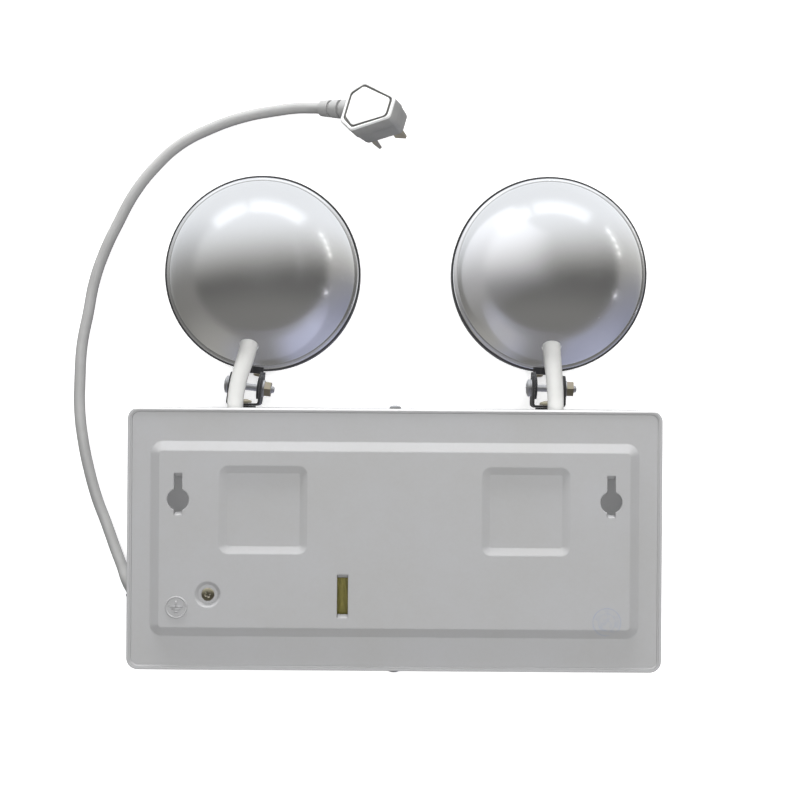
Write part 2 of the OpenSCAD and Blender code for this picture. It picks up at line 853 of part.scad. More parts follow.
module power_cord() {
    color(cover_white) swept_rod(cord_path, cord_d / 2, 10);
}

module at_plug() { translate(plug_at) rotate(plug_turn) children(); }

module plug_collar() {
    color(cover_white) at_plug() translate([-collar_len, 0, 0]) rotate([0, 90, 0]) difference() {
        cylinder(h = collar_len, r1 = collar_tip_r, r2 = collar_r);
        for (s = [1, 2])
            translate([0, 0, s * collar_len / 3 - collar_groove_w / 2]) difference() {
                cylinder(h = collar_groove_w, r = 2 * collar_r);
                cylinder(h = collar_groove_w, r = collar_groove_r);
            }
    }
}

module plug_outline(inset) {
    neck = plug_neck_half - inset;
    wide = plug_wide_half - inset;
    nose = plug_nose_half - inset / 3;
    far = plug_nose_x - inset;
    polygon(round_off(
        [[inset, -neck], [plug_wide_x, -wide], [far, -nose], [far, nose], [plug_wide_x, wide], [inset, neck]],
        plug_corner_r
    ));
}

module plug_body() {
    foot = plug_back - plug_depth;
    color(cover_white) at_plug() difference() {
        union() {
            translate([0, 0, plug_back - plug_slab]) linear_extrude(plug_slab) plug_outline(0);
            hull() {
                translate([0, 0, plug_back - plug_slab]) linear_extrude(slab) plug_outline(0);
                translate([0, 0, foot]) linear_extrude(slab) plug_outline(plug_foot_inset);
            }
        }
        translate([0, 0, plug_back - plug_groove_d]) linear_extrude(plug_groove_d + cut) difference() {
            plug_outline(plug_panel_inset);
            plug_outline(plug_panel_inset + plug_groove_w);
        }
    }
}

module plug_pin(x, y, turn, len) {
    translate([x, y, plug_back - plug_depth - len]) rotate([0, 0, turn])
        translate([-pin_w / 2, -pin_t / 2, 0]) cube([pin_w, pin_t, len]);
}

module plug_pins() {
    color([0.8, 0.75, 0.55]) at_plug() {
        for (s = [-1, 1]) plug_pin(pin_side_x, s * pin_side_y, s * pin_side_turn, pin_len);
        plug_pin(earth_pin_x, 0, 0, pin_len + earth_pin_more);
    }
}

// Swivel hardware, square to the case's top wall

module swivel_washers() {
    color([0.15, 0.15, 0.15]) for (s = [LEFT, RIGHT])
        on_top(s * bracket_pitch / 2, pivot_z) washer(swivel_washer_r, washer_t, swivel_screw_d);
}

module swivel_screws() {
    len = base_z + sheet_t + seat_gap + cover_t + swivel_nut_h + swivel_end;
    color(zinc) for (s = [LEFT, RIGHT])
        on_top(s * bracket_pitch / 2, pivot_z)
            translate([0, 0, base_z + sheet_t + seat_gap])
                pan_screw(swivel_screw_d, len, swivel_head_r, swivel_head_h);
}

module swivel_nuts() {
    color(zinc) for (s = [LEFT, RIGHT])
        on_top(s * bracket_pitch / 2, pivot_z)
            translate([0, 0, -cover_t - swivel_nut_h]) hex_nut(swivel_nut_r, swivel_nut_h, swivel_screw_d);
}

// Lower bracket: flat base on the case, legs that lean with the head

// Point where a line along the leaning legs, at a distance from their middle, meets a height
function leg_point(off, y, lean) =
    let (t = (y + off * sin(lean)) / cos(lean))
    [off * cos(lean) + t * sin(lean), y];
function leg_end(off, lean) =
    let (t = pivot_h + leg_d)
    [off * cos(lean) + t * sin(lean), t * cos(lean) - off * sin(lean)];

// The bent strip seen from the front, its bends rounded
module bracket_strip(lean) {
    half = bracket_w / 2;
    top = base_z + sheet_t;
    a = leg_point(-half, base_z, lean);
    b = leg_end(-half, lean);
    c = leg_end(-leg_x, lean);
    d = leg_point(-leg_x, top, lean);
    e = leg_point(leg_x, top, lean);
    f = leg_end(leg_x, lean);
    g = leg_end(half, lean);
    h = leg_point(half, base_z, lean);
    polygon(concat(
        corner_arc(h, a, b, bend_r + sheet_t), [b, c],
        corner_arc(c, d, e, bend_r), corner_arc(d, e, f, bend_r),
        [f, g], corner_arc(g, h, a, bend_r + sheet_t)
    ));
}

module lower_bracket(side) {
    lean = side == LEFT ? lean_left : lean_right;
    color(black) difference() {
        intersection() {
            translate([side * bracket_pitch / 2, case_h / 2, pivot_z - leg_d])
                linear_extrude(2 * leg_d) bracket_strip(lean);
            at_head(side) side_plate(-bracket_w, 2 * bracket_w) {
                translate([-leg_d, pivot_z - leg_d / 2]) square([leg_d + pivot_h, leg_d]);
                translate([pivot_h, pivot_z]) circle(leg_d / 2);
            }
        }
        at_head(side) on_pivot()
            cylinder(h = 2 * bracket_w, r = pivot_screw_d / 2 + turn_gap, center = true);
        on_top(side * bracket_pitch / 2, pivot_z)
            cylinder(h = 2 * pivot_screw_d, r = swivel_screw_d / 2 + turn_gap, center = true);
    }
}

// Tilt screw, nut and washers

stack_x = bracket_w / 2 + washer_t + seat_gap;

module pivot_screw(side) {
    len = 2 * stack_x + pivot_nut_h + pivot_end;
    color(zinc) at_head(side) on_pivot() translate([0, 0, -stack_x]) mirror([0, 0, 1])
        pan_screw(pivot_screw_d, len, pivot_head_r, pivot_head_h);
}

module pivot_nut(side) {
    color(zinc) at_head(side) on_pivot() translate([0, 0, stack_x])
        hex_nut(pivot_nut_r, pivot_nut_h, pivot_screw_d);
}

module pivot_washers(side) {
    color(steel) at_head(side) on_pivot() for (z = [bracket_w / 2, -bracket_w / 2 - washer_t])
        translate([0, 0, z]) washer(pivot_washer_r, washer_t, pivot_screw_d);
}

// Head fork: a web hooked over the rim, and two ears that reach the tilt axis

module ear_outline() {
    heel = fork_hook_z + sheet_t;
    polygon([
        [fork_tab_y, fork_front_z],
        [fork_tab_y, heel],
        [pivot_h + ear_r, pivot_z + ear_r / 4],
        [pivot_h - ear_r / 2, pivot_z - ear_r * 3 / 4],
        [fork_tab_y - sheet_t - ear_r / 2, fork_front_z],
    ]);
    translate([pivot_h, pivot_z]) circle(ear_r);
}

module fork_screw_places() {
    for (x = [-fork_screw_x, fork_screw_x])
        translate([x, fork_tab_y - sheet_t, fork_screw_z]) rotate([90, 0, 0]) children();
}

module head_fork(side) {
    color(black) at_head(side) difference() {
        union() {
            for (x = [-fork_w / 2, fork_w / 2 - sheet_t]) side_plate(x, sheet_t) ear_outline();
            translate([-fork_w / 2, fork_tab_y - sheet_t, fork_front_z])
                cube([fork_w, sheet_t, fork_hook_z + sheet_t - fork_front_z]);
            translate([-fork_w / 2, fork_tab_y - sheet_t, fork_hook_z])
                cube([fork_w, fork_hook_h + sheet_t, sheet_t]);
        }
        on_pivot() cylinder(h = bracket_w, r = pivot_screw_d / 2 + turn_gap, center = true);
        fork_screw_places()
            cylinder(h = 2 * (fork_screw_len + cut), r = fork_screw_d / 2 + hole_gap, center = true);
    }
}

module fork_screws(side) {
    color(zinc) at_head(side) fork_screw_places()
        pan_screw(fork_screw_d, fork_screw_len, fork_head_r, fork_head_h);
}

// Head: bezel ring, lens, gasket, reflector, board with emitters, shell

module at_axis() { translate([0, head_h, 0]) children(); }

module bezel_ring(side) {
    bevel = lip_t / 2;
    color(black) at_head(side) difference() {
        at_axis() rotate_extrude($fn = shell_fn) polygon([
            [bezel_r - bevel, head_z],
            [bezel_r, head_z + bevel],
            [bezel_r, ring_top],
            [ring_inner_r, ring_top],
            [ring_inner_r, lens_z],
            [ring_inner_r - lip_w, lens_z],
            [ring_inner_r - lip_w + bevel, head_z],
        ]);
        fork_screw_places()
            cylinder(h = 2 * (fork_screw_len + cut), r = fork_screw_d / 2 + turn_gap, center = true);
    }
}

module head_lens(side) {
    color([0.8, 0.9, 0.95, 0.4]) at_head(side) at_axis() translate([0, 0, lens_z])
        cylinder(h = lens_t, r = stack_r, $fn = shell_fn);
}

module lens_gasket(side) {
    color(black) at_head(side) at_axis() translate([0, 0, gasket_z])
        rotate_extrude($fn = shell_fn) translate([stack_r - gasket_w, 0]) square([gasket_w, gasket_t]);
}

function bowl(s) = [neck_r + (mouth_r - neck_r) * s, reflector_z + reflector_depth * (1 - s * s)];

module reflector(side) {
    inner = [for (i = [0 : reflector_steps]) bowl(i / reflector_steps)];
    outer = [for (i = [reflector_steps : -1 : 0])
        bowl(i / reflector_steps) + [0, reflector_t]];
    color([0.85, 0.86, 0.88]) at_head(side) at_axis() rotate_extrude($fn = shell_fn) {
        polygon(concat(inner, outer));
        translate([mouth_r - reflector_t, reflector_z])
            square([stack_r - mouth_r + reflector_t, reflector_flange_t]);
    }
}

module led_board(side) {
    color([0.9, 0.9, 0.88]) at_head(side) at_axis() translate([0, 0, led_board_z])
        cylinder(h = led_board_t, r = led_board_r);
}

module led_emitters(side) {
    color([0.95, 0.85, 0.3]) at_head(side) at_axis() for (i = [0 : led_count - 1])
        rotate([0, 0, 360 * i / led_count]) translate([led_ring, 0, led_board_z]) {
            translate([-led_base / 2, -led_base / 2, -led_h / 2]) cube([led_base, led_base, led_h / 2]);
            translate([0, 0, -led_h]) cylinder(h = led_h / 2 + slab, r1 = led_r / 2, r2 = led_r);
        }
}

module dome_profile() {
    intersection() {
        translate([0, sphere_z]) difference() {
            circle(sphere_r, $fn = shell_fn);
            circle(sphere_r - shell_t, $fn = shell_fn);
        }
        translate([0, step_z - shell_t / 2]) square(sphere_r + cut);
    }
    translate([dome_r - shoulder_w, step_z - shell_t]) square([stack_r - dome_r + shoulder_w, shell_t]);
    translate([stack_r - shell_t, shell_z]) square([shell_t, step_z - shell_z]);
}

module head_shell(side) {
    seat_z = led_board_z + led_board_t;
    post_top = sphere_z + sqrt(pow(sphere_r, 2) - pow(led_post_ring + led_post_r, 2)) - seat_gap;
    color(shell_white) at_head(side) at_axis() difference() {
        union() {
            rotate_extrude($fn = shell_fn) dome_profile();
            for (i = [0 : led_post_count - 1])
                rotate([0, 0, 360 * i / led_post_count + 90]) translate([led_post_ring, 0, seat_z])
                    cylinder(h = post_top - seat_z, r = led_post_r);
        }
        translate([0, -inlet_drop, inlet_z]) rotate([90 - inlet_dive, 0, 0])
            cylinder(h = 4 * sleeve_r, r = inlet_r, center = true);
    }
}

// Lead sleeve: out of the case, over the head's rim and square into the dome's hole

module lead_sleeve(side) {
    lean = side == LEFT ? lean_left : lean_right;
    pivot = [side * bracket_pitch / 2, case_h / 2, 0];
    foot = pivot + [side * sleeve_out, 0, sleeve_z];
    top = pivot + turn_z([0, head_h - inlet_drop, inlet_z], -lean);
    dive = turn_z([0, cos(inlet_dive), -sin(inlet_dive)], -lean);
    reach = sleeve_share * (head_h - inlet_drop);
    path = concat(
        [foot - [0, sleeve_tail, 0]],
        [for (i = [0 : sleeve_steps])
            bezier(foot, foot + [0, reach, 0], top - reach * dive, top, i / sleeve_steps)],
        [top + sleeve_plunge * dive]
    );
    color(cover_white) swept_pipe(path, sleeve_r, sleeve_top_r, sleeve_bore_r, sleeve_sides, [1, 0, 0]);
}

module lower_bracket_left() { lower_bracket(LEFT); }
module pivot_screw_left() { pivot_screw(LEFT); }
module pivot_nut_left() { pivot_nut(LEFT); }
module pivot_washers_left() { pivot_washers(LEFT); }
module head_fork_left() { head_fork(LEFT); }
module fork_screws_left() { fork_screws(LEFT); }
module bezel_ring_left() { bezel_ring(LEFT); }
module head_lens_left() { head_lens(LEFT); }
module lens_gasket_left() { lens_gasket(LEFT); }
module head_shell_left() { head_shell(LEFT); }
module reflector_left() { reflector(LEFT); }
module led_board_left() { led_board(LEFT); }
module led_emitters_left() { led_emitters(LEFT); }
module lead_sleeve_left() { lead_sleeve(LEFT); }
module lower_bracket_right() { lower_bracket(RIGHT); }
module pivot_screw_right() { pivot_screw(RIGHT); }
module pivot_nut_right() { pivot_nut(RIGHT); }
module pivot_washers_right() { pivot_washers(RIGHT); }
module head_fork_right() { head_fork(RIGHT); }
module fork_screws_right() { fork_screws(RIGHT); }
module bezel_ring_right() { bezel_ring(RIGHT); }
module head_lens_right() { head_lens(RIGHT); }
module lens_gasket_right() { lens_gasket(RIGHT); }
module head_shell_right() { head_shell(RIGHT); }
module reflector_right() { reflector(RIGHT); }
module led_board_right() { led_board(RIGHT); }
module led_emitters_right() { led_emitters(RIGHT); }
module lead_sleeve_right() { lead_sleeve(RIGHT); }

back_plate();
front_cover();
cover_screws();
earth_screw();
earth_nut();
battery_pack();
battery_strap();
battery_pad();
control_board();
board_screws();
board_parts();
transformer();
terminal_block();
mains_light();
charge_light();
fault_light();
button_switch();
test_button();
button_spring();
cord_gland();
power_cord();
plug_collar();
plug_body();
plug_pins();
swivel_washers();
swivel_screws();
swivel_nuts();
lower_bracket_left();
pivot_screw_left();
pivot_nut_left();
pivot_washers_left();
head_fork_left();
fork_screws_left();
bezel_ring_left();
head_lens_left();
lens_gasket_left();
head_shell_left();
reflector_left();
led_board_left();
led_emitters_left();
lead_sleeve_left();
lower_bracket_right();
pivot_screw_right();
pivot_nut_right();
pivot_washers_right();
head_fork_right();
fork_screws_right();
bezel_ring_right();
head_lens_right();
lens_gasket_right();
head_shell_right();
reflector_right();
led_board_right();
led_emitters_right();
lead_sleeve_right();
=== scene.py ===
# %% [markdown]
# # A twin head emergency light, seen from behind
#
# The light lies on its face, as it does while somebody wires it. Its steel case shows its back plate,
# two glossy lamp heads stand out at the top on black brackets, and a white lead runs round the left head
# to its plug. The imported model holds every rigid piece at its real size. This lesson gives them their
# finishes, and adds what a solid model leaves out: the lead, bent sleeves, threads, pressed signs.

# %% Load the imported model
import json
from math import cos, pi, radians, sin, sqrt, tau

import bpy
from mathutils import Matrix, Vector

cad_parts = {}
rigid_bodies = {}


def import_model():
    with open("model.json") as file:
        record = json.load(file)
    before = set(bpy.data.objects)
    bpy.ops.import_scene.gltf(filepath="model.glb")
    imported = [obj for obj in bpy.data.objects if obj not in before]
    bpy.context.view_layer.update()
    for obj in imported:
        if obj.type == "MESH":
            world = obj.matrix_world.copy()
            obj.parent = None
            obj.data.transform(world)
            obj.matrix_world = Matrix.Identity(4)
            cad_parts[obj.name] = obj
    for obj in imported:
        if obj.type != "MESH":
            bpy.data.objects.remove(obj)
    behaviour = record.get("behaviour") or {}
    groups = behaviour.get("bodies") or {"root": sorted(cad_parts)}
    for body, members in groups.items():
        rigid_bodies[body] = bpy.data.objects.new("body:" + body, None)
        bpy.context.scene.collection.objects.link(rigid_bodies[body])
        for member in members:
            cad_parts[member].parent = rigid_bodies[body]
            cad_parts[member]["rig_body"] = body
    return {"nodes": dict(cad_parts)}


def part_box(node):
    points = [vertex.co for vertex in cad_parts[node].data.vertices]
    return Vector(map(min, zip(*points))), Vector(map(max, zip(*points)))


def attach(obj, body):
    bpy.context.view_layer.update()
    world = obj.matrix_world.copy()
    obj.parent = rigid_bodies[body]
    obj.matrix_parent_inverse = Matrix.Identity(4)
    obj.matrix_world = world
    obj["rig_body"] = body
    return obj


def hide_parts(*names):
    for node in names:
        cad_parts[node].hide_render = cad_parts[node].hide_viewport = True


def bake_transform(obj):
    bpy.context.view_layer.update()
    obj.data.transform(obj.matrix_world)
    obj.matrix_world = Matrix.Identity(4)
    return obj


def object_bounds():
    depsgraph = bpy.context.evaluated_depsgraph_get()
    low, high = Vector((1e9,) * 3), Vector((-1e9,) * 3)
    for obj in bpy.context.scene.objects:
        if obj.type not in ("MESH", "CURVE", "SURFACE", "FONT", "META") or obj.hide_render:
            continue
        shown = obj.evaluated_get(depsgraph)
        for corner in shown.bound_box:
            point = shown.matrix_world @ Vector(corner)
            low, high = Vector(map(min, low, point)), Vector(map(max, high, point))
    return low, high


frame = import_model()
cad_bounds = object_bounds()
nodes = frame["nodes"]

# %% [markdown]
# ## The camera
#
# The photograph looks straight down at the back plate. Its optical centre is a little right of the case
# and above its middle, so the camera hangs there, and only its distance and lens set the perspective:
# near walls spread outwards, and the domes lean away from the middle of the picture. It was held less than
# half a degree out of level.

# %% Camera over the light
CAMERA_AT = Vector((0.0022, 0.06673, 0.698))
CAMERA_ROLL = radians(0.4)
PICTURE_PX = 800
PX_PER_MM_AT_PLATE = 2.098
PLATE_LEVEL = 0.048

camera_data = bpy.data.cameras.new("camera")
picture_width = PICTURE_PX / PX_PER_MM_AT_PLATE / 1000
camera_data.lens = camera_data.sensor_width * (CAMERA_AT.z - PLATE_LEVEL) / picture_width
camera_data.clip_start = 0.02
camera = bpy.data.objects.new("camera", camera_data)
camera.location = CAMERA_AT
camera.rotation_euler.z = CAMERA_ROLL
bpy.context.scene.collection.objects.link(camera)
bpy.context.scene.camera = camera
print("lens", round(camera_data.lens, 2), "mm")

# %% [markdown]
# ## The lead
#
# A lead of this kind is a round white PVC cord of about 5.6 mm. It leaves a rubber boot in the left wall,
# drops to the table, swings round the left head and climbs into the plug, which leans on its pins. A curve
# with one open spline gives it its real length: its points are the route that the solid model follows,
# and smooth handles turn them into one flowing line.

# %% Route of the lead
CORD_R = 0.0028
CASE_LEFT = -0.1275
GLAND_AT = Vector((CASE_LEFT, -0.040, 0.009))
GLAND_NOSE = 0.0105
GLAND_LEAN = radians(62)
PLUG_AT = Vector((-0.023, 0.212, 0.015))
PLUG_TURN = tuple(radians(a) for a in (-22, -30, -9))
COLLAR_LEN = 0.018

route_mm = [
    (-138, -19, 6.4), (-142, -10, 4.2), (-147, 3, 3), (-152, 16, 2.8), (-156, 30, 2.8),
    (-159, 44, 2.8), (-161, 60, 2.8), (-161, 77, 2.8), (-160, 94, 2.8), (-157, 110, 2.8),
    (-154, 126, 2.8), (-149, 141, 2.8), (-142, 156, 2.8), (-134, 171, 2.8),
    (-124, 184, 2.8), (-111, 196, 2.8), (-95, 204.5, 2.8), (-78.5, 210.4, 2.8), (-61, 213.9, 2.8),
    (-51, 215.2, 2.8),
]
gland_way = Vector((-cos(GLAND_LEAN), sin(GLAND_LEAN), 0))
gland_tip = GLAND_AT + GLAND_NOSE * gland_way
plug_frame = Matrix.Translation(PLUG_AT) @ (
    Matrix.Rotation(PLUG_TURN[2], 4, "Z") @ Matrix.Rotation(PLUG_TURN[1], 4, "Y")
    @ Matrix.Rotation(PLUG_TURN[0], 4, "X"))
plug_way = (plug_frame.to_3x3() @ Vector((1, 0, 0))).normalized()
cord_end = PLUG_AT - COLLAR_LEN * plug_way
route = [gland_tip, gland_tip + 2 * CORD_R * gland_way]
route += [Vector(p) / 1000 for p in route_mm]
route += [cord_end - 2 * CORD_R * plug_way, cord_end]

cord_curve = bpy.data.curves.new("power_lead", "CURVE")
cord_curve.dimensions = "3D"
cord_curve.bevel_depth = CORD_R
cord_curve.bevel_resolution = 6
cord_curve.resolution_u = 8
spline = cord_curve.splines.new("BEZIER")
spline.bezier_points.add(len(route) - 1)
for knot, place in zip(spline.bezier_points, route):
    knot.co = place
    knot.handle_left_type = knot.handle_right_type = "AUTO"
cord = bpy.data.objects.new("power_lead", cord_curve)
bpy.context.scene.collection.objects.link(cord)
cord_length = sum((b - a).length for a, b in zip(route, route[1:]))
print("lead", round(cord_length, 3), "m")

# %% [markdown]
# ## A way to write shaders
#
# A finish is easier to read as sums and products than as boxes and wires. The class `Wire` holds one
# output socket, and its operators add Math nodes, so `1 - mask * 0.3` is a node tree. Colours go through
# Mix and Vector Math nodes, because a Math node would turn them grey.

# %% Wires and finishes
class Wire:
    """One output socket of a node tree, with arithmetic on it."""

    def __init__(self, tree, socket):
        self.tree, self.socket = tree, socket

    def math(self, operation, *values, clamp=False):
        box = add_node(self.tree, "ShaderNodeMath", {"operation": operation, "use_clamp": clamp})
        for place, value in enumerate(values):
            feed(self.tree, box.inputs[place], value)
        return Wire(self.tree, box.outputs[0])

    def __add__(self, other):
        return self.math("ADD", self, other)

    __radd__ = __add__

    def __mul__(self, other):
        return self.math("MULTIPLY", self, other)

    __rmul__ = __mul__

    def __sub__(self, other):
        return self.math("SUBTRACT", self, other)

    def __rsub__(self, other):
        return self.math("SUBTRACT", other, self)

    def __truediv__(self, other):
        return self.math("DIVIDE", self, other)

    def __pow__(self, other):
        return self.math("POWER", self, other)

    def step(self, low, high):
        """0 below low, 1 above high, a straight slope between."""
        return self.math("MULTIPLY_ADD", self, 1 / (high - low), -low / (high - low), clamp=True)

    def ease(self, low, high):
        """As step, with a soft start and a soft end."""
        rise = self.step(low, high)
        return rise * rise * (3 - rise * 2)

    def band(self, centre, half, soft):
        """1 within half of centre, fading out over soft."""
        away = self.math("ABSOLUTE", self - centre)
        return 1 - away.step(half, half + soft)

    def either(self, other):
        return self.math("MAXIMUM", self, other)

    def waves(self, rate):
        """The sine of this value times rate."""
        return self.math("SINE", self * rate)

    def blend(self, first, second):
        """A colour between first and second, by this value."""
        box = add_node(self.tree, "ShaderNodeMix", {"data_type": "RGBA"})
        feed(self.tree, box.inputs["Factor"], self)
        for name, value in (("A", first), ("B", second)):
            feed(self.tree, [s for s in box.inputs if s.name == name and s.type == "RGBA"][0], value)
        return Wire(self.tree, [s for s in box.outputs if s.type == "RGBA"][0])


def feed(tree, socket, value):
    """Gives a socket a link or a constant."""
    if isinstance(value, Wire):
        tree.links.new(value.socket, socket)
    elif isinstance(value, (tuple, list)) and socket.type == "RGBA" and len(value) == 3:
        socket.default_value = (*value, 1)
    else:
        socket.default_value = value


def add_node(tree, kind, settings=None, **inputs):
    """A node of a kind: its settings first, then its inputs by name, spaces written as _."""
    box = tree.nodes.new(kind)
    for name, value in (settings or {}).items():
        setattr(box, name, value)
    for name, value in inputs.items():
        feed(tree, box.inputs[name.replace("_", " ")], value)
    return box


class Finish:
    """A material under construction, with the patterns that every finish here is made of."""

    def __init__(self, name, **constants):
        self.material = bpy.data.materials.new(name)
        self.material.use_nodes = True
        self.tree = self.material.node_tree
        self.tree.nodes.clear()
        self.shader = add_node(self.tree, "ShaderNodeBsdfPrincipled")
        out = add_node(self.tree, "ShaderNodeOutputMaterial")
        self.tree.links.new(self.shader.outputs[0], out.inputs["Surface"])
        self.place = Wire(self.tree, add_node(self.tree, "ShaderNodeTexCoord").outputs["Object"])
        self.set(**constants)

    def set(self, **inputs):
        for name, value in inputs.items():
            feed(self.tree, self.shader.inputs[name.replace("_", " ")], value)

    def noise(self, size, detail=3.0, rough=0.55, warp=0.0, stretch=None):
        """Value noise whose grains are about size metres."""
        place = self.place
        if stretch:
            box = add_node(self.tree, "ShaderNodeVectorMath", {"operation": "MULTIPLY"})
            feed(self.tree, box.inputs[0], place)
            feed(self.tree, box.inputs[1], stretch)
            place = Wire(self.tree, box.outputs[0])
        box = add_node(self.tree, "ShaderNodeTexNoise", None, Vector=place, Scale=1 / size,
                       Detail=detail, Roughness=rough, Distortion=warp)
        return Wire(self.tree, box.outputs["Fac"])

    def cells(self, size, feature="F1"):
        box = add_node(self.tree, "ShaderNodeTexVoronoi", {"feature": feature},
                       Vector=self.place, Scale=1 / size)
        return Wire(self.tree, box.outputs["Distance"])

    def axis(self, letter):
        box = add_node(self.tree, "ShaderNodeSeparateXYZ", None, Vector=self.place)
        return Wire(self.tree, box.outputs[letter])

    def away_from(self, point):
        """Distance from a point of the row frame, measured in the plane of the plate."""
        gap_x, gap_y = self.axis("X") - point[0], self.axis("Y") - point[1]
        return (gap_x * gap_x + gap_y * gap_y) ** 0.5

    def edges(self, reach=0.0012):
        """1 on convex edges, from how a rounded normal leaves the flat one."""
        bevel = add_node(self.tree, "ShaderNodeBevel", {"samples": 4}, Radius=reach)
        flat = add_node(self.tree, "ShaderNodeNewGeometry")
        dot = add_node(self.tree, "ShaderNodeVectorMath", {"operation": "DOT_PRODUCT"})
        self.tree.links.new(bevel.outputs[0], dot.inputs[0])
        self.tree.links.new(flat.outputs["Normal"], dot.inputs[1])
        return 1 - Wire(self.tree, dot.outputs["Value"])

    def bump(self, height, depth, strength=1.0, soft_edge=None):
        """Relief of a depth in metres; soft_edge rounds the edges of the solid under it."""
        box = add_node(self.tree, "ShaderNodeBump", None, Height=height, Distance=depth, Strength=strength)
        if soft_edge:
            bevel = add_node(self.tree, "ShaderNodeBevel", {"samples": 4}, Radius=soft_edge)
            self.tree.links.new(bevel.outputs[0], box.inputs["Normal"])
        self.tree.links.new(box.outputs[0], self.shader.inputs["Normal"])


def dress(finish, *names):
    """Puts a finish on CAD nodes or on pieces of the scene."""
    for name in names:
        target = nodes[name] if isinstance(name, str) else name
        target.data.materials.clear()
        target.data.materials.append(finish.material)


print("shader helpers ready")

# %% [markdown]
# ## The back plate's paint
#
# The plate is pressed steel under a pale grey powder coat. Powder paint melts into a skin with a fine
# orange peel, a little rougher than the cover's. Handling leaves it slightly patchy, and
# near the right edge a chip has let the steel show. An inspector's blue ring stamp sits low on the right:
# here it is two bare rings without a mark inside them.

# %% Grey powder coat
PLATE_GREY = (0.372, 0.374, 0.386)
STAMP_AT = (0.1012, -0.0383)
STAMP_R, STAMP_INNER = 0.0066, 0.62
CHIP_AT, CHIP_R = (0.1232, 0.0625), 0.0016

plate_paint = Finish("grey_powder_coat", Metallic=0.0, IOR=1.48, Specular_IOR_Level=0.45)
peel = plate_paint.noise(0.0011, detail=2.0)
patches = plate_paint.noise(0.045, detail=3.0)
grime = plate_paint.noise(0.006, detail=6.0, rough=0.7)
worn = plate_paint.edges(0.0007).step(0.03, 0.35)
stamp_gap = plate_paint.away_from(STAMP_AT)
stamp = stamp_gap.band(STAMP_R, 0.00018, 0.0002)
stamp = stamp.either(stamp_gap.band(STAMP_R * STAMP_INNER, 0.0001, 0.0002))
stamp = stamp * grime.step(0.38, 0.62)
smudge = plate_paint.noise(0.0025, detail=4.0).step(0.45, 0.6)
smudge = (1 - stamp_gap.step(STAMP_R * 0.8, STAMP_R)) * smudge
stamp = stamp.either(smudge * 0.4)
chip = plate_paint.away_from(CHIP_AT) + plate_paint.noise(0.0012) * CHIP_R
chip = 1 - chip.step(CHIP_R, CHIP_R * 1.25)
tone = patches.step(0.35, 0.7) * 0.6 + grime.step(0.3, 0.8) * 0.4
mottle = plate_paint.noise(0.0016, detail=4.0, rough=0.7)
paint = (tone * 0.75 + mottle.step(0.3, 0.7) * 0.25).blend((0.345, 0.344, 0.341), PLATE_GREY)
paint = (worn * 0.35).blend(paint, (0.48, 0.48, 0.49))
paint = (stamp * 0.34).blend(paint, (0.16, 0.24, 0.42))
paint = (chip * 0.9).blend(paint, (0.2, 0.19, 0.18))
plate_paint.set(Base_Color=paint, Roughness=0.46 + grime * 0.1 - worn * 0.08)
plate_paint.bump(peel * 0.8 + grime * 0.2 - chip * 2, 0.00004, 0.55, soft_edge=0.0009)
dress(plate_paint, "back_plate")
print("back plate painted")

# %% [markdown]
# ## The cover's paint
#
# The cover is the same steel in nearly the same grey: at the left, right and bottom the photo's grey runs to
# the very edge. Only the top hem, where the sheet bends over towards the window, is painted near white: a
# painted highlight for the window's shine on the bend.

# %% Cover powder coat
TOP_HEM_Y, HEM_Z = 0.0613, 0.0460

cover_paint = Finish("cover_powder_coat", IOR=1.48, Specular_IOR_Level=0.5)
peel = cover_paint.noise(0.0010, detail=2.0)
haze = cover_paint.noise(0.05, detail=4.0)
rubbed = cover_paint.edges(0.0009).step(0.04, 0.4)
# Painted highlight: the top hem is painted near white where the window shines on the bend.
painted_hem_highlight = cover_paint.axis("Y").step(TOP_HEM_Y, TOP_HEM_Y + 0.0004)
painted_hem_highlight = painted_hem_highlight * cover_paint.axis("Z").step(HEM_Z, HEM_Z + 0.001)
paint = haze.step(0.3, 0.75).blend((0.375, 0.376, 0.382), (0.395, 0.396, 0.402))
paint = (rubbed * 0.3).blend(paint, (0.46, 0.46, 0.46))
paint = painted_hem_highlight.blend(paint, (0.86, 0.86, 0.86))
cover_paint.set(Base_Color=paint, Roughness=0.36 + haze * 0.08)
cover_paint.bump(peel, 0.00003, 0.5, soft_edge=0.0008)
dress(cover_paint, "front_cover")
print("cover painted")

# %% [markdown]
# ## Glossy lamp shells
#
# Each head is a moulding under a pearl lacquer, polished like a helmet. Its look is mostly what it mirrors:
# a dark ceiling in the middle, a window at the top and a grey room round the rim. Fine metal flakes under a
# clear coat give that: a soft mirror with a crisp one over it. Moulding leaves it slightly uneven, and a
# few specks of dust lie on it.

# %% Pearl lacquer
shell_plastic = Finish("pearl_lacquer", IOR=1.5, Coat_IOR=1.5, Coat_Roughness=0.04)
ripple = shell_plastic.noise(0.03, detail=1.0)
haze = shell_plastic.noise(0.02, detail=4.0)
specks = 1 - shell_plastic.cells(0.0042).step(0.03, 0.06)
specks = specks * shell_plastic.noise(0.02).step(0.54, 0.66)
tone = specks.blend((0.81, 0.81, 0.815), (0.55, 0.54, 0.52))
shell_plastic.set(Base_Color=tone, Metallic=0.93 - specks * 0.5, Roughness=0.18 + haze * 0.08 + specks * 0.3,
                  Coat_Weight=0.9)
shell_plastic.bump(ripple, 0.0002, 0.1)
dress(shell_plastic, "head_shell_left", "head_shell_right")
print("shells polished")

# %% [markdown]
# ## Black plastic and black steel
#
# The rims are moulded black plastic. The brackets and forks are steel with a thin black coat, which wears
# to a greyer metal along the bends and round the screws.

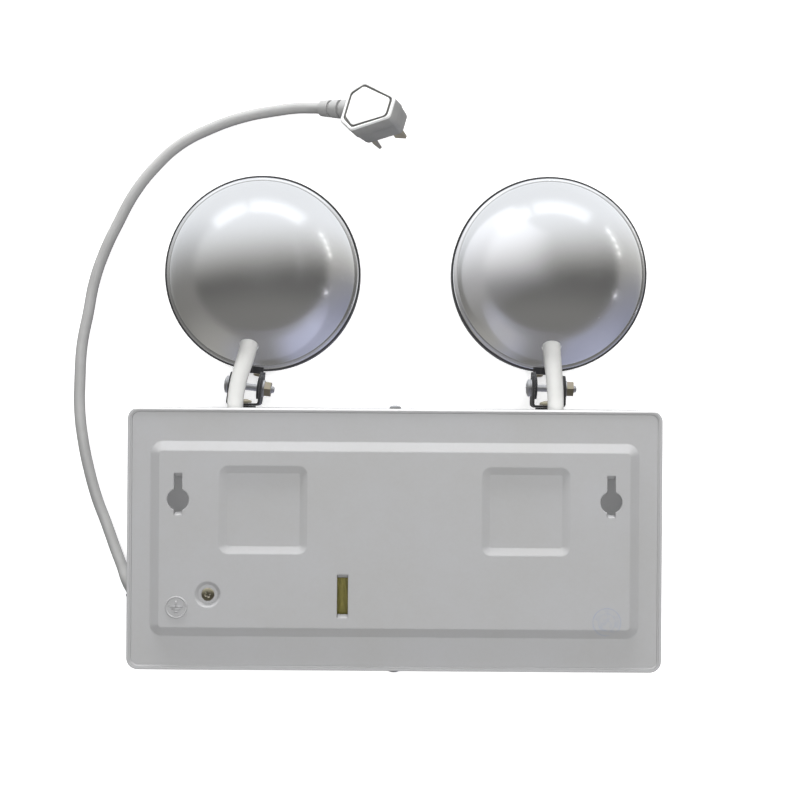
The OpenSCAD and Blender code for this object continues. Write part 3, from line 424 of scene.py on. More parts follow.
# %% Black finishes
black_plastic = Finish("black_plastic", IOR=1.5)
grain = black_plastic.noise(0.0006, detail=3.0)
rubbed = black_plastic.edges(0.0008).step(0.05, 0.4)
black_plastic.set(Base_Color=rubbed.blend((0.022, 0.022, 0.024), (0.07, 0.07, 0.075)),
                  Roughness=0.34 + grain * 0.16)
black_plastic.bump(grain, 0.00003, 0.4, soft_edge=0.0004)
dress(black_plastic, "bezel_ring_left", "bezel_ring_right", "cord_gland", "button_switch",
      "board_parts")

black_steel = Finish("black_coated_steel", IOR=1.5)
grain = black_steel.noise(0.0008, detail=4.0)
scratches = black_steel.noise(0.0009, detail=2.0, stretch=(1, 0.08, 1)).step(0.63, 0.7)
rubbed = black_steel.edges(0.0006).step(0.06, 0.4) * grain.step(0.35, 0.6)
bare = (rubbed * 0.8).either(scratches * 0.18)
black_steel.set(Base_Color=bare.blend((0.02, 0.02, 0.022), (0.34, 0.33, 0.32)), Metallic=bare * 0.8,
                Roughness=0.42 + grain * 0.15 - bare * 0.15)
black_steel.bump(grain, 0.00003, 0.5, soft_edge=0.0003)
dress(black_steel, "lower_bracket_left", "lower_bracket_right", "head_fork_left",
      "head_fork_right", "transformer", "swivel_washers")
print("black pieces dressed")

# %% [markdown]
# ## Zinc and steel hardware
#
# Small screws are zinc plated. Yellow passivation gives them a straw colour that drifts between green and
# rose, which a slow noise between two tints imitates. The plain ones are only bright steel.

# %% Plated metals
yellow_zinc = Finish("yellow_zinc", Metallic=1.0)
drift = yellow_zinc.noise(0.0024, detail=3.0, warp=0.8)
scuffs = yellow_zinc.noise(0.0005, detail=4.0)
tint = drift.step(0.35, 0.65).blend((0.46, 0.43, 0.30), (0.50, 0.43, 0.35))
yellow_zinc.set(Base_Color=tint, Roughness=0.26 + scuffs * 0.2)
yellow_zinc.bump(scuffs, 0.00002, 0.4, soft_edge=0.0002)
dress(yellow_zinc, "earth_nut", "swivel_screws", "swivel_nuts", "fork_screws_left",
      "fork_screws_right", "pivot_nut_left", "pivot_nut_right")

bright_steel = Finish("bright_steel", Metallic=1.0)
brushed = bright_steel.noise(0.0006, detail=4.0, stretch=(0.2, 1, 1))
bright_steel.set(Base_Color=brushed.blend((0.5, 0.5, 0.51), (0.66, 0.66, 0.67)),
                 Roughness=0.22 + brushed * 0.22)
bright_steel.bump(brushed, 0.00002, 0.4, soft_edge=0.0002)
dress(bright_steel, "battery_strap", "board_screws", "pivot_washers_left",
      "pivot_washers_right", "button_spring")

pin_metal = Finish("plated_brass", Metallic=1.0)
brushed = pin_metal.noise(0.0005, detail=4.0, stretch=(1, 1, 0.1))
pin_metal.set(Base_Color=brushed.blend((0.52, 0.47, 0.36), (0.66, 0.62, 0.52)),
              Roughness=0.24 + brushed * 0.2)
pin_metal.bump(brushed, 0.00002, 0.4, soft_edge=0.0003)
dress(pin_metal, "plug_pins")
print("hardware plated")

# %% [markdown]
# ## Soft white and clear plastics
#
# The lead, its plug and the sleeves are PVC: a softer sheen than the shells, a little yellow, dulled by
# fingers. The lens is a clear disc over a mirror bowl, so it is a glass that lets light through.

# %% PVC, moulded white and clear plastic
white_pvc = Finish("white_pvc", IOR=1.5, Specular_IOR_Level=0.4, Subsurface_Weight=0.05,
                   Subsurface_Radius=(0.002, 0.002, 0.0018), Subsurface_Scale=1.0)
smear = white_pvc.noise(0.012, detail=5.0)
film = white_pvc.noise(0.0012, detail=3.0)
white_pvc.set(Base_Color=smear.step(0.3, 0.7).blend((0.62, 0.62, 0.605), (0.68, 0.68, 0.665)),
              Roughness=0.38 + smear * 0.12)
white_pvc.bump(film, 0.00004, 0.3)
dress(white_pvc, "lead_sleeve_left", "lead_sleeve_right")

# Painted shade: the white lead and its collar are painted mid grey, much darker than the white sleeves.
lead_pvc_painted_shade = Finish("lead_pvc_painted_shade", IOR=1.5, Specular_IOR_Level=0.5)
smear = lead_pvc_painted_shade.noise(0.02, detail=5.0)
film = lead_pvc_painted_shade.noise(0.0012, detail=3.0)
lead_pvc_painted_shade.set(Base_Color=smear.step(0.3, 0.7).blend((0.33, 0.33, 0.328), (0.39, 0.39, 0.387)),
             Roughness=0.32 + smear * 0.12)
lead_pvc_painted_shade.bump(film, 0.00004, 0.3)
dress(lead_pvc_painted_shade, cord, "plug_collar")

white_plastic = Finish("moulded_white_plastic", IOR=1.5)
fine = white_plastic.noise(0.0009, detail=3.0)
haze = white_plastic.noise(0.01, detail=4.0)
white_plastic.set(Base_Color=haze.step(0.3, 0.7).blend((0.73, 0.73, 0.725), (0.79, 0.79, 0.785)),
                  Roughness=0.28 + haze * 0.12)
white_plastic.bump(fine, 0.00003, 0.3, soft_edge=0.0005)
dress(white_plastic, "plug_body", "terminal_block", "led_board_left", "led_board_right")

clear_plastic = Finish("clear_lens", IOR=1.49, Transmission_Weight=1.0, Roughness=0.04)
dimple = clear_plastic.cells(0.004, feature="SMOOTH_F1")
clear_plastic.set(Base_Color=dimple.step(0.0, 0.6).blend((0.93, 0.95, 0.96), (0.97, 0.98, 0.985)))
clear_plastic.bump(dimple, 0.0004, 0.35)
dress(clear_plastic, "head_lens_left", "head_lens_right")
print("plastics dressed")

# %% [markdown]
# ## What lies inside
#
# Through the window in the plate the cells' olive shrink wrap shows. The board, its lights and the mirror
# bowls hide in the case and the heads, but each has its own finish for whoever takes the light apart.

# %% Battery wrap, board, mirror, rubber and lights
cell_wrap = Finish("olive_shrink_wrap", IOR=1.5, Specular_IOR_Level=0.6)
creases = cell_wrap.noise(0.004, detail=4.0, warp=1.5, stretch=(1, 0.3, 1))
cell_wrap.set(Base_Color=creases.step(0.35, 0.65).blend((0.125, 0.11, 0.018), (0.20, 0.175, 0.034)),
              Roughness=0.24 + creases * 0.15)
cell_wrap.bump(creases, 0.0003, 0.5)
dress(cell_wrap, "battery_pack")

TRACKS_PER_METRE = 420
board_mask = Finish("green_solder_mask", IOR=1.5)
weave = board_mask.noise(0.0008, detail=2.0, stretch=(1, 0.4, 1))
tracks = board_mask.axis("X").waves(TRACKS_PER_METRE).step(0.6, 0.8)
board_mask.set(Base_Color=(tracks * 0.5).blend((0.02, 0.12, 0.05), (0.04, 0.22, 0.09)),
               Roughness=0.3 + weave * 0.15)
board_mask.bump(tracks * 0.7 + weave * 0.3, 0.00005, 0.5)
dress(board_mask, "control_board")

dark_rubber = Finish("dark_rubber", IOR=1.5)
pores = dark_rubber.cells(0.0009)
dark_rubber.set(Base_Color=pores.step(0.1, 0.6).blend((0.015, 0.015, 0.016), (0.035, 0.035, 0.036)),
                Roughness=0.7 + pores * 0.1)
dark_rubber.bump(pores, 0.0001, 0.5)
dress(dark_rubber, "battery_pad", "lens_gasket_left", "lens_gasket_right")

mirror_coat = Finish("vacuum_metal", Metallic=1.0)
haze = mirror_coat.noise(0.008, detail=3.0)
mirror_coat.set(Base_Color=haze.blend((0.8, 0.8, 0.81), (0.88, 0.88, 0.89)), Roughness=0.06 + haze * 0.06)
mirror_coat.bump(haze, 0.0001, 0.2)
dress(mirror_coat, "reflector_left", "reflector_right")

phosphor = Finish("phosphor", IOR=1.45, Subsurface_Weight=0.2)
grains = phosphor.noise(0.0004, detail=2.0)
phosphor.set(Base_Color=grains.blend((0.75, 0.6, 0.12), (0.85, 0.72, 0.2)), Roughness=0.4 + grains * 0.1)
phosphor.bump(grains, 0.00003, 0.4)
dress(phosphor, "led_emitters_left", "led_emitters_right")

TINTED = {"mains_light": (0.03, 0.34, 0.08), "charge_light": (0.5, 0.03, 0.02),
          "fault_light": (0.6, 0.38, 0.03), "test_button": (0.45, 0.02, 0.02)}
for name, colour in TINTED.items():
    tinted = Finish(f"{name}_plastic", IOR=1.5, Specular_IOR_Level=0.6)
    depth = tinted.noise(0.0016, detail=2.0)
    tinted.set(Base_Color=depth.blend(tuple(0.75 * c for c in colour), colour), Roughness=0.16 + depth * 0.1)
    tinted.bump(depth, 0.00003, 0.3)
    dress(tinted, name)
print("inside dressed")

# %% [markdown]
# ## Tubes and lofts
#
# Bent tubes, threads and moulded bodies share one idea: rings of points, joined ring to ring. `skin` takes
# any rings with equal counts, and `tube` carries a circle along a line without twist.

# %% Rings, paths and new pieces
def skin(rings, closed_ends=True):
    """Vertices and faces of a surface through rings of equal length."""
    count = len(rings[0])
    points = [p for ring in rings for p in ring]
    faces = []
    for row in range(len(rings) - 1):
        for k in range(count):
            a, b = row * count + k, row * count + (k + 1) % count
            faces.append((a, b, b + count, a + count))
    if closed_ends:
        faces.append(tuple(reversed(range(count))))
        faces.append(tuple(range(len(points) - count, len(points))))
    return points, faces


def tube(line, radius, sides, across=(1, 0, 0)):
    """Rings round a line; radius is a function of the share of the way along it."""
    rings = []
    across = Vector(across)
    for k, here in enumerate(line):
        along = (line[min(k + 1, len(line) - 1)] - line[max(k - 1, 0)]).normalized()
        across = (across - along * across.dot(along)).normalized()
        up = along.cross(across)
        r = radius(k / (len(line) - 1))
        rings.append([here + r * (across * cos(tau * i / sides) + up * sin(tau * i / sides))
                      for i in range(sides)])
    return rings


def new_piece(name, points, faces, finish, body, soft=True):
    mesh = bpy.data.meshes.new(name)
    mesh.from_pydata([tuple(p) for p in points], [], faces)
    mesh.validate()
    if soft:
        mesh.shade_smooth()
    piece = bpy.data.objects.new(name, mesh)
    bpy.context.scene.collection.objects.link(piece)
    mesh.materials.append(finish.material)
    if body:
        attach(piece, body)
    return piece


def sharpen(piece, degrees=35):
    """Keeps edges sharper than an angle crisp."""
    piece.data.set_sharp_from_angle(angle=radians(degrees))
    return piece


def merged(parts):
    """Several (points, faces) as one."""
    points, faces = [], []
    for more_points, more_faces in parts:
        start = len(points)
        points += more_points
        faces += [tuple(start + i for i in face) for face in more_faces]
    return points, faces


print("mesh helpers ready")

# %% [markdown]
# ## Screws with cross recesses and threads
#
# A screw is a turned profile with a cut cross and a rolled thread. The thread is one surface whose radius
# follows a saw of the height and the angle together, which makes a true helix without any cutting. The
# cross is cut by a boolean with two crossed wedges. `SCREWS` gives each kind its shank radius, length, head
# radius and head height.

# %% Screws
HEADS = {"left": (-0.0755, radians(6.8)), "right": (0.0755, radians(1.1))}
CASE_TOP = 0.0625
PIVOT_UP, PIVOT_Z = 0.0105, 0.020
STACK_X = 0.0092
BRACKET_SHEET = 0.0022
FORK_SCREW_X, FORK_SCREW_UP, FORK_SCREW_Z = 0.0034, 0.0175, 0.0058
SCREWS = {
    "earth_screw": (0.002, 0.009, 0.0031, 0.0013),
    "cover_screws": (0.0015, 0.007, 0.0028, 0.0017),
    "swivel_screws": (0.0025, 0.0089, 0.004, 0.0022),
    "pivot_screw": (0.00194, 0.0232, 0.0044, 0.0019),
    "fork_screws": (0.0013, 0.0022, 0.0022, 0.0014),
}
THREAD_PITCH, THREAD_DEPTH = 0.175, 0.54
CROSS_TURN = 0.4


def head_frame(side):
    """The frame of one lamp head: y = 0 on the case's top, leaning with the bracket's legs."""
    foot_x, lean = HEADS[side]
    return Matrix.Translation((foot_x, CASE_TOP, 0)) @ Matrix.Rotation(-lean, 4, "Z")


def turned(profile, sides=36):
    return [[Vector((r * cos(tau * i / sides), r * sin(tau * i / sides), z)) for i in range(sides)]
            for r, z in profile]


def thread(radius, length, pitch, sides=20, rows_per_turn=8):
    """A threaded rod from z = 0 down to its chamfered end."""
    depth = THREAD_DEPTH * pitch
    rows = int(length / pitch * rows_per_turn)
    rings = []
    for row in range(rows + 1):
        z = -length * row / rows
        chamfer = max(0.0, pitch - (length + z)) * 0.7
        ring = []
        for i in range(sides):
            phase = (z / pitch + i / sides) % 1.0
            r = radius - depth * (1 - abs(2 * phase - 1)) - chamfer
            ring.append(Vector((r * cos(tau * i / sides), r * sin(tau * i / sides), z)))
        rings.append(ring)
    return skin(rings)


def screw_parts(shank_r, length, head_r, head_h):
    crown = 2 * head_r
    edge_r = head_r * 0.94
    radii = [edge_r * k / 6 for k in range(1, 7)]
    rise = [(r, head_h - crown + sqrt(crown ** 2 - r ** 2)) for r in radii]
    brow = rise[-1][1]
    profile = [(0.00001, head_h), *rise, (head_r, brow - head_r * 0.09), (head_r, head_r * 0.05),
               (head_r * 0.95, 0), (shank_r, 0)]
    return skin(turned(profile)), thread(shank_r, length, THREAD_PITCH * 2 * shank_r)


def cross_cut(piece, places, head_r, head_h):
    """Cuts a cross recess into every head of a piece."""
    parts = []
    for place in places:
        for turn in (0, pi / 2):
            wide, thin, deep = head_r * 0.6, head_r * 0.15, head_h * 0.94
            bottom = [(-wide * 0.6, -thin), (wide * 0.6, -thin), (wide * 0.6, thin), (-wide * 0.6, thin)]
            top = [(-wide, -thin * 1.3), (wide, -thin * 1.3), (wide, thin * 1.3), (-wide, thin * 1.3)]
            spin = place @ Matrix.Rotation(turn + CROSS_TURN, 4, "Z")
            rings = [[spin @ Vector((x, y, head_h - deep)) for x, y in bottom],
                     [spin @ Vector((x, y, head_h * 1.3)) for x, y in top]]
            parts.append(skin(rings))
    for number, (points, faces) in enumerate(parts):
        cutter = new_piece(f"cutter_{number}", points, faces, yellow_zinc, None, soft=False)
        cut = piece.modifiers.new("cross", "BOOLEAN")
        cut.object, cut.operation, cut.solver = cutter, "DIFFERENCE", "EXACT"
        bpy.context.view_layer.update()
        done = bpy.data.meshes.new_from_object(piece.evaluated_get(bpy.context.evaluated_depsgraph_get()))
        piece.modifiers.clear()
        piece.data = done
        bpy.data.objects.remove(cutter)


def screws(node, kind, places, finish):
    """Detailed screws in place of a node's plain ones."""
    shank_r, length, head_r, head_h = SCREWS[kind]
    heads, rods = [], []
    for place in places:
        for pile, (points, faces) in zip((heads, rods), screw_parts(shank_r, length, head_r, head_h)):
            pile.append(([place @ p for p in points], faces))
    body = nodes[node]["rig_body"]
    top = new_piece(f"{node}_heads", *merged(heads), finish, None)
    cross_cut(top, places, head_r, head_h)
    sharpen(top, 40)
    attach(top, body)
    rod = sharpen(new_piece(f"{node}_threads", *merged(rods), finish, body), 50)
    for piece in (top, rod):
        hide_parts(node)


def facing(point, way):
    """A matrix at a point whose z looks along way."""
    return Matrix.Translation(point) @ Vector(way).to_track_quat("Z", "Y").to_matrix().to_4x4()


low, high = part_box("earth_screw")
under_head = ((low.x + high.x) / 2, (low.y + high.y) / 2, high.z - SCREWS["earth_screw"][3])
screws("earth_screw", "earth_screw", [facing(under_head, (0, 0, 1))], yellow_zinc)
low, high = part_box("cover_screws")
middle_z = (low.z + high.z) / 2
screws("cover_screws", "cover_screws",
       [facing((0, s * CASE_TOP, middle_z), (0, s, 0)) for s in (-1, 1)], bright_steel)
screws("swivel_screws", "swivel_screws",
       [facing((x, CASE_TOP + BRACKET_SHEET, PIVOT_Z), (0, 1, 0)) for x, _ in HEADS.values()], yellow_zinc)
for side in HEADS:
    across = (head_frame(side) @ Matrix.Translation((-STACK_X, PIVOT_UP, PIVOT_Z))
              @ Matrix.Rotation(-pi / 2, 4, "Y"))
    screws(f"pivot_screw_{side}", "pivot_screw", [across], bright_steel)
    down = [head_frame(side) @ Matrix.Translation((x, FORK_SCREW_UP, FORK_SCREW_Z))
            @ Matrix.Rotation(pi / 2, 4, "X") for x in (-FORK_SCREW_X, FORK_SCREW_X)]
    screws(f"fork_screws_{side}", "fork_screws", down, yellow_zinc)
print("screws cut and threaded")

# %% [markdown]
# ## The lead sleeves
#
# The wires of each lamp run in a soft white sleeve. It leaves a hole in the case level, arches over the rim
# of the head and goes square into the dome, which is one Bezier arc between two known directions. It has to
# bend when the head swivels and when it tilts. Each sleeve is made as two tubes, split part way along the
# arc: the lower one runs up from the case, the upper one on into the head. A piece can bend across one
# joint, so each sleeve is two tubes.

# %% Sleeves in two stretches
SLEEVE_Z, SLEEVE_OUT, SLEEVE_TAIL, PLUNGE = 0.0385, 0.002, 0.008, 0.006
SLEEVE_R, SLEEVE_TOP_R, SLEEVE_BORE = 0.0038, 0.0044, 0.0029
HEAD_UP, INLET_DROP = 0.068, 0.0375
DOME_R, DOME_H, STEP_Z = 0.0466, 0.037, 0.0126
SPHERE_R = (DOME_R ** 2 + DOME_H ** 2) / (2 * DOME_H)
INLET_Z = STEP_Z + DOME_H - SPHERE_R + sqrt(SPHERE_R ** 2 - INLET_DROP ** 2)
ARC_STEPS, TAIL_STEPS = 44, 6
REACH_SHARE, SPLIT_SHARE = 0.4, 0.4


def sleeve_line(side):
    way = -1 if side == "left" else 1
    place = head_frame(side)
    turn = place.to_3x3()
    foot = Vector((HEADS[side][0] + way * SLEEVE_OUT, CASE_TOP, SLEEVE_Z))
    top = place @ Vector((0, HEAD_UP - INLET_DROP, INLET_Z))
    cosine = INLET_DROP / SPHERE_R
    dive = turn @ Vector((0, cosine, -sqrt(1 - cosine ** 2)))
    reach = REACH_SHARE * (HEAD_UP - INLET_DROP)
    knots = foot, foot + Vector((0, reach, 0)), top - reach * dive, top
    arc = []
    for k in range(ARC_STEPS + 1):
        t = k / ARC_STEPS
        weights = (1 - t) ** 3, 3 * t * (1 - t) ** 2, 3 * t * t * (1 - t), t ** 3
        arc.append(sum((w * knot for w, knot in zip(weights, knots)), Vector()))
    tail = [foot - Vector((0, SLEEVE_TAIL * k / TAIL_STEPS, 0)) for k in range(TAIL_STEPS, 0, -1)]
    return tail + arc + [top + PLUNGE * k / TAIL_STEPS * dive for k in range(1, TAIL_STEPS + 1)]


def sleeve_radius(share):
    return SLEEVE_R + (SLEEVE_TOP_R - SLEEVE_R) * share


for side in HEADS:
    line = sleeve_line(side)
    rings = tube(line, sleeve_radius, 32)
    middle = TAIL_STEPS + int(ARC_STEPS * SPLIT_SHARE)
    first_out, last_out = line[TAIL_STEPS + 2], line[TAIL_STEPS + ARC_STEPS - 3]
    stretches = {"lower": (rings[:middle + 1], "case", f"yoke_{side}", first_out, line[middle - 2]),
                 "upper": (rings[middle:], f"yoke_{side}", f"head_{side}", line[middle + 2], last_out)}
    for place, (part, first, second, start, end) in stretches.items():
        sleeve = new_piece(f"sleeve_{place}_{side}", *skin(part, closed_ends=False), white_pvc, None)
        wall = sleeve.modifiers.new("wall", "SOLIDIFY")
        wall.thickness, wall.offset, wall.use_rim = SLEEVE_R - SLEEVE_BORE, -1, False
        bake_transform(sleeve)
        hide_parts(f"lead_sleeve_{side}")
print("sleeves bent")

# %% [markdown]
# ## Rolled rims
#
# Where a shell meets its black ring, the moulding ends in a low rolled bead. A flat step would mirror the
# dark ceiling all round, and the real rim is bright at the top and grey at the sides, so the round form
# matters. It is a closed profile turned about the head's axis: a cone that runs under the dome's foot.

# %% Rim beads
BEAD_MM = ((48.1, -0.3), (48.1, 0.0), (47.65, 0.42), (47.15, 0.86), (46.8, 1.1), (46.45, 1.2), (46.1, 1.22),
           (46.1, -0.3), (48.1, -0.3))
BEAD_SIDES = 120

for side in HEADS:
    axis = head_frame(side) @ Matrix.Translation((0, HEAD_UP, STEP_Z))
    profile = [(r / 1000, z / 1000) for r, z in BEAD_MM]
    rings = [[axis @ p for p in ring] for ring in turned(profile, BEAD_SIDES)]
    bead = new_piece(f"shell_bead_{side}", *skin(rings, closed_ends=False), shell_plastic, f"head_{side}")
print("rims rolled")

# %% [markdown]
# ## The painted seam
#
# The plate drops between the cover's walls and sits a little below their hem. Paint fills the hair gap and
# the step, so the real edge shows no black line. A closed strip does the same here: it rises from the plate
# to the hem along the rounded outline, and its foot stays hidden in the gap.

# %% Paint in the seam
PLATE_HALF, PLATE_CORNER_R = Vector((0.1260, 0.0610)), 0.0040
SEAM_PROFILE_MM = ((-0.75, 47.62), (-0.3, 47.72), (0.42, 47.97), (0.42, 47.1), (-0.1, 47.1), (-0.75, 47.5),
                   (-0.75, 47.62))


def rounded_outline(grow, z, steps=8):
    """Points round the plate's outline, grown by grow, counter-clockwise at height z."""
    half, radius, line = PLATE_HALF + Vector((grow, grow)), PLATE_CORNER_R + grow, []
    for k, (sx, sy) in enumerate(((1, 1), (-1, 1), (-1, -1), (1, -1))):
        at = Vector((sx * (half.x - radius), sy * (half.y - radius), z))
        line += [at + radius * Vector((cos(a), sin(a), 0))
                 for a in (pi / 2 * (k + i / steps) for i in range(steps + 1))]
    return line


rings = [rounded_outline(grow / 1000, z / 1000) for grow, z in SEAM_PROFILE_MM]
seam = new_piece("seam_paint", *skin(rings, closed_ends=False), plate_paint, "case", soft=False)
print("seam filled")

# %% [markdown]
# ## The spring under the test button
#
# The coil stands between the button's cap and the switch, in place of the plain spring, which is hidden.

# %% Button coil
COIL_TURNS, COIL_STEPS, WIRE_R, WIRE_SIDES = 6, 20, 0.0003, 8

corners = [Vector(corner) for corner in nodes["button_spring"].bound_box]
low, high = corners[0], corners[6]
foot = Vector(((low.x + high.x) / 2, (low.y + high.y) / 2, low.z + WIRE_R))
coil_r, rise = (high.x - low.x) / 2 - WIRE_R, high.z - low.z - 2 * WIRE_R
rings = []
for i in range(COIL_TURNS * COIL_STEPS + 1):
    outward = Vector((cos(tau * i / COIL_STEPS), sin(tau * i / COIL_STEPS), 0))
    at = foot + outward * coil_r + Vector((0, 0, rise * i / (COIL_TURNS * COIL_STEPS)))
    around = [tau * k / WIRE_SIDES for k in range(WIRE_SIDES)]
    rings.append([at + WIRE_R * (outward * cos(a) + Vector((0, 0, sin(a)))) for a in around])
coil = new_piece("button_coil", *skin(rings), bright_steel, None)
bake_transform(coil)
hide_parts("button_spring")
print(f"coil {rise * 1000:.2f} mm tall, radius {coil_r * 1000:.2f} mm, {COIL_TURNS} turns")

# %% [markdown]
# ## The plug
#
# The plug is a moulded shield with a flat back, and a groove runs inside its rim. Its rings are all the
# same outline, drawn in or out and set at different heights: panel, groove, rounded rim, wall, parting
# line, taper and front. The outline is a hexagon whose corners are turned into arcs. The groove is painted
# near black as painted shade, and below the parting line the skirt is painted a darker grey, painted shade
# for walls that face away from the light. The whole body leans nine degrees less than the solid that it
# stands for, about a line near its foot, as the photograph shows it.

# %% Plug body
PLUG_MM = {"neck": 8.6, "wide": 13.4, "nose": 5.4, "wide_x": 8, "nose_x": 28}
PLUG_FOOT_Z, PLUG_LEAN = -0.008, radians(9)


def arc_corner(before, corner, after, radius, steps=6):
    a, b = (before - corner).normalized(), (after - corner).normalized()
    half = a.angle(b) / 2
    centre = corner + (a + b).normalized() * radius / sin(half)
    arm = corner + a * radius / (sin(half) / cos(half)) - centre
    way = 1 if a.x * b.y - a.y * b.x < 0 else -1
    return [centre + Matrix.Rotation(way * (pi - 2 * half) * k / steps, 2) @ arm for k in range(steps + 1)]


def plug_outline(inset, radius=2.5):
    neck, wide = PLUG_MM["neck"] - inset, PLUG_MM["wide"] - inset
    nose, tip = PLUG_MM["nose"] - inset / 3, PLUG_MM["nose_x"] - inset
    knots = [(inset, -neck), (PLUG_MM["wide_x"], -wide), (tip, -nose), (tip, nose), (PLUG_MM["wide_x"], wide),
             (inset, neck)]
    knots = [Vector(k) for k in knots]
    line = []
    for before, corner, after in zip([knots[-1], *knots], knots, [*knots[1:], knots[0]]):
        line += arc_corner(before, corner, after, radius)
    return line


PLUG_RINGS = ((6.0, 7.0), (3.0, 7.0), (2.7, 6.9), (2.6, 6.0), (1.6, 6.0), (1.5, 6.75), (1.25, 7.0),
              (0.7, 7.0), (0.3, 6.85), (0.06, 6.45), (0.0, 5.9), (0.0, -1.2), (0.15, -1.5), (0.35, -1.7),
              (0.45, -2.1), (1.4, -9.6), (1.7, -10.5), (2.5, -11.0))
GROOVE_ROWS, SKIRT_ROW = (2, 3, 4), 9

# Painted shade: the groove's faces are painted near black where shade falls inside the rim.
groove_painted_shade = Finish("groove_painted_shade", IOR=1.5)
groove_shade_noise = groove_painted_shade.noise(0.0012, detail=4.0)
groove_painted_shade.set(Base_Color=groove_shade_noise.blend((0.10, 0.10, 0.095), (0.17, 0.17, 0.16)), Roughness=0.6 + groove_shade_noise * 0.1)
groove_painted_shade.bump(groove_shade_noise, 0.00004, 0.4)
# Painted shade: the walls below the parting line are painted a darker grey than the white body, for walls
# facing away from the light.
plug_skirt_painted_shade = Finish("plug_skirt_painted_shade", IOR=1.5)
haze = plug_skirt_painted_shade.noise(0.008, detail=4.0)
plug_skirt_painted_shade.set(Base_Color=haze.step(0.3, 0.7).blend((0.32, 0.32, 0.316), (0.38, 0.38, 0.376)),
               Roughness=0.4 + haze * 0.12)

moulding = (plug_frame @ Matrix.Translation((0, 0, PLUG_FOOT_Z)) @ Matrix.Rotation(PLUG_LEAN, 4, "X")
            @ Matrix.Translation((0, 0, -PLUG_FOOT_Z)))
rings = [[moulding @ (Vector((p.x, p.y, height)) / 1000) for p in plug_outline(inset)]
         for inset, height in PLUG_RINGS]
plug = sharpen(new_piece("plug_moulding", *skin(rings), white_plastic, "case"), 50)
for finish in (groove_painted_shade, plug_skirt_painted_shade):
    plug.data.materials.append(finish.material)
sides = len(rings[0])
back_panel = (len(rings) - 1) * sides
for face in plug.data.polygons:
    row = face.index // sides
    if face.index != back_panel:
        face.material_index = 1 if row in GROOVE_ROWS else 2 if row > SKIRT_ROW else 0
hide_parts("plug_body")
print("plug", len(plug.data.vertices), "points")

# %% [markdown]
# ## The pressed earth sign
#
# Beside its earth screw the plate carries the usual sign for a protective earth, pressed up from behind: a
# circle, a stem and three shrinking bars. Each stroke is a low ridge, swept along its line and sunk half
# into the sheet, a little flatter than it is wide.

# %% Earth sign
SIGN_AT = Vector((-0.1035, -0.0325))
SIGN_R, STROKE_R, STROKE_FLAT = 0.0049, 0.00045, 0.9
PANEL_TOP = 0.0501
STEM_TOP, BAR_TOP = 0.0032, 0.0004
BARS = (0, 0.0032), (0.0013, 0.0021), (0.0026, 0.0010)


def ridge(line):
    rings = tube([Vector((p[0], p[1], PANEL_TOP)) for p in line], lambda share: STROKE_R, 10, (0, 0, 1))
    for p in (p for ring in rings for p in ring):
        p.z = PANEL_TOP + (p.z - PANEL_TOP) * STROKE_FLAT
    return skin(rings)


strokes = [ridge([SIGN_AT + SIGN_R * Vector((cos(tau * k / 40), sin(tau * k / 40))) for k in range(41)])]
strokes.append(ridge([SIGN_AT + Vector((0, y)) for y in (STEM_TOP, BAR_TOP)]))
for drop, half in BARS:
    strokes.append(ridge([SIGN_AT + Vector((x, BAR_TOP - drop)) for x in (-half, 0, half)]))
sign = new_piece("earth_sign", *merged(strokes), plate_paint, "case")
print("earth sign pressed")

# %% [markdown]
# ## The light table
#
# The photograph was cut out on white. A light table, which glows a little by itself, takes the shadows away.
# Only the camera sees it, so it casts no light on the pieces.

# %% Table
FLOOR_HALF = 2.5

floor_paint = Finish("light_table", Specular_IOR_Level=0.1, Emission_Strength=0.6)
tooth = floor_paint.noise(0.002)
floor_paint.set(Base_Color=tooth.blend((0.80, 0.80, 0.80), (0.82, 0.82, 0.82)), Roughness=0.8,
                Emission_Color=(1, 1, 1))
corners = [(x * FLOOR_HALF, y * FLOOR_HALF, 0) for x, y in ((-1, -1), (1, -1), (1, 1), (-1, 1))]
floor = new_piece("table", corners, [(0, 1, 2, 3)], floor_paint, None, soft=False)
floor.visible_diffuse = False
print("table", 2 * FLOOR_HALF, "m wide")

# %% [markdown]
# ## Cards for the domes
#
# The pieces are hidden from mirrored rays, so the domes mirror only what is drawn for them. A bent card, the
# hood, brightens one side of the right dome, and a card on the case's top wall lights the low edge of both.

# %% Hood and wall card
HOOD_MM = ((12, 0), (12, 50), (16, 80), (25, 105), (40, 125), (60, 138), (95, 146))
HOOD_FROM_Y, HOOD_TO_Y, HOOD_GLOW = 0.06, 0.26, 0.34
WALL_HALF, WALL_HIGH, WALL_GAP = 0.127, 0.0475, 0.0002
WALL_FADE, WALL_GLOW = 0.1, 0.2

for piece in bpy.data.objects:
    piece.visible_glossy = False


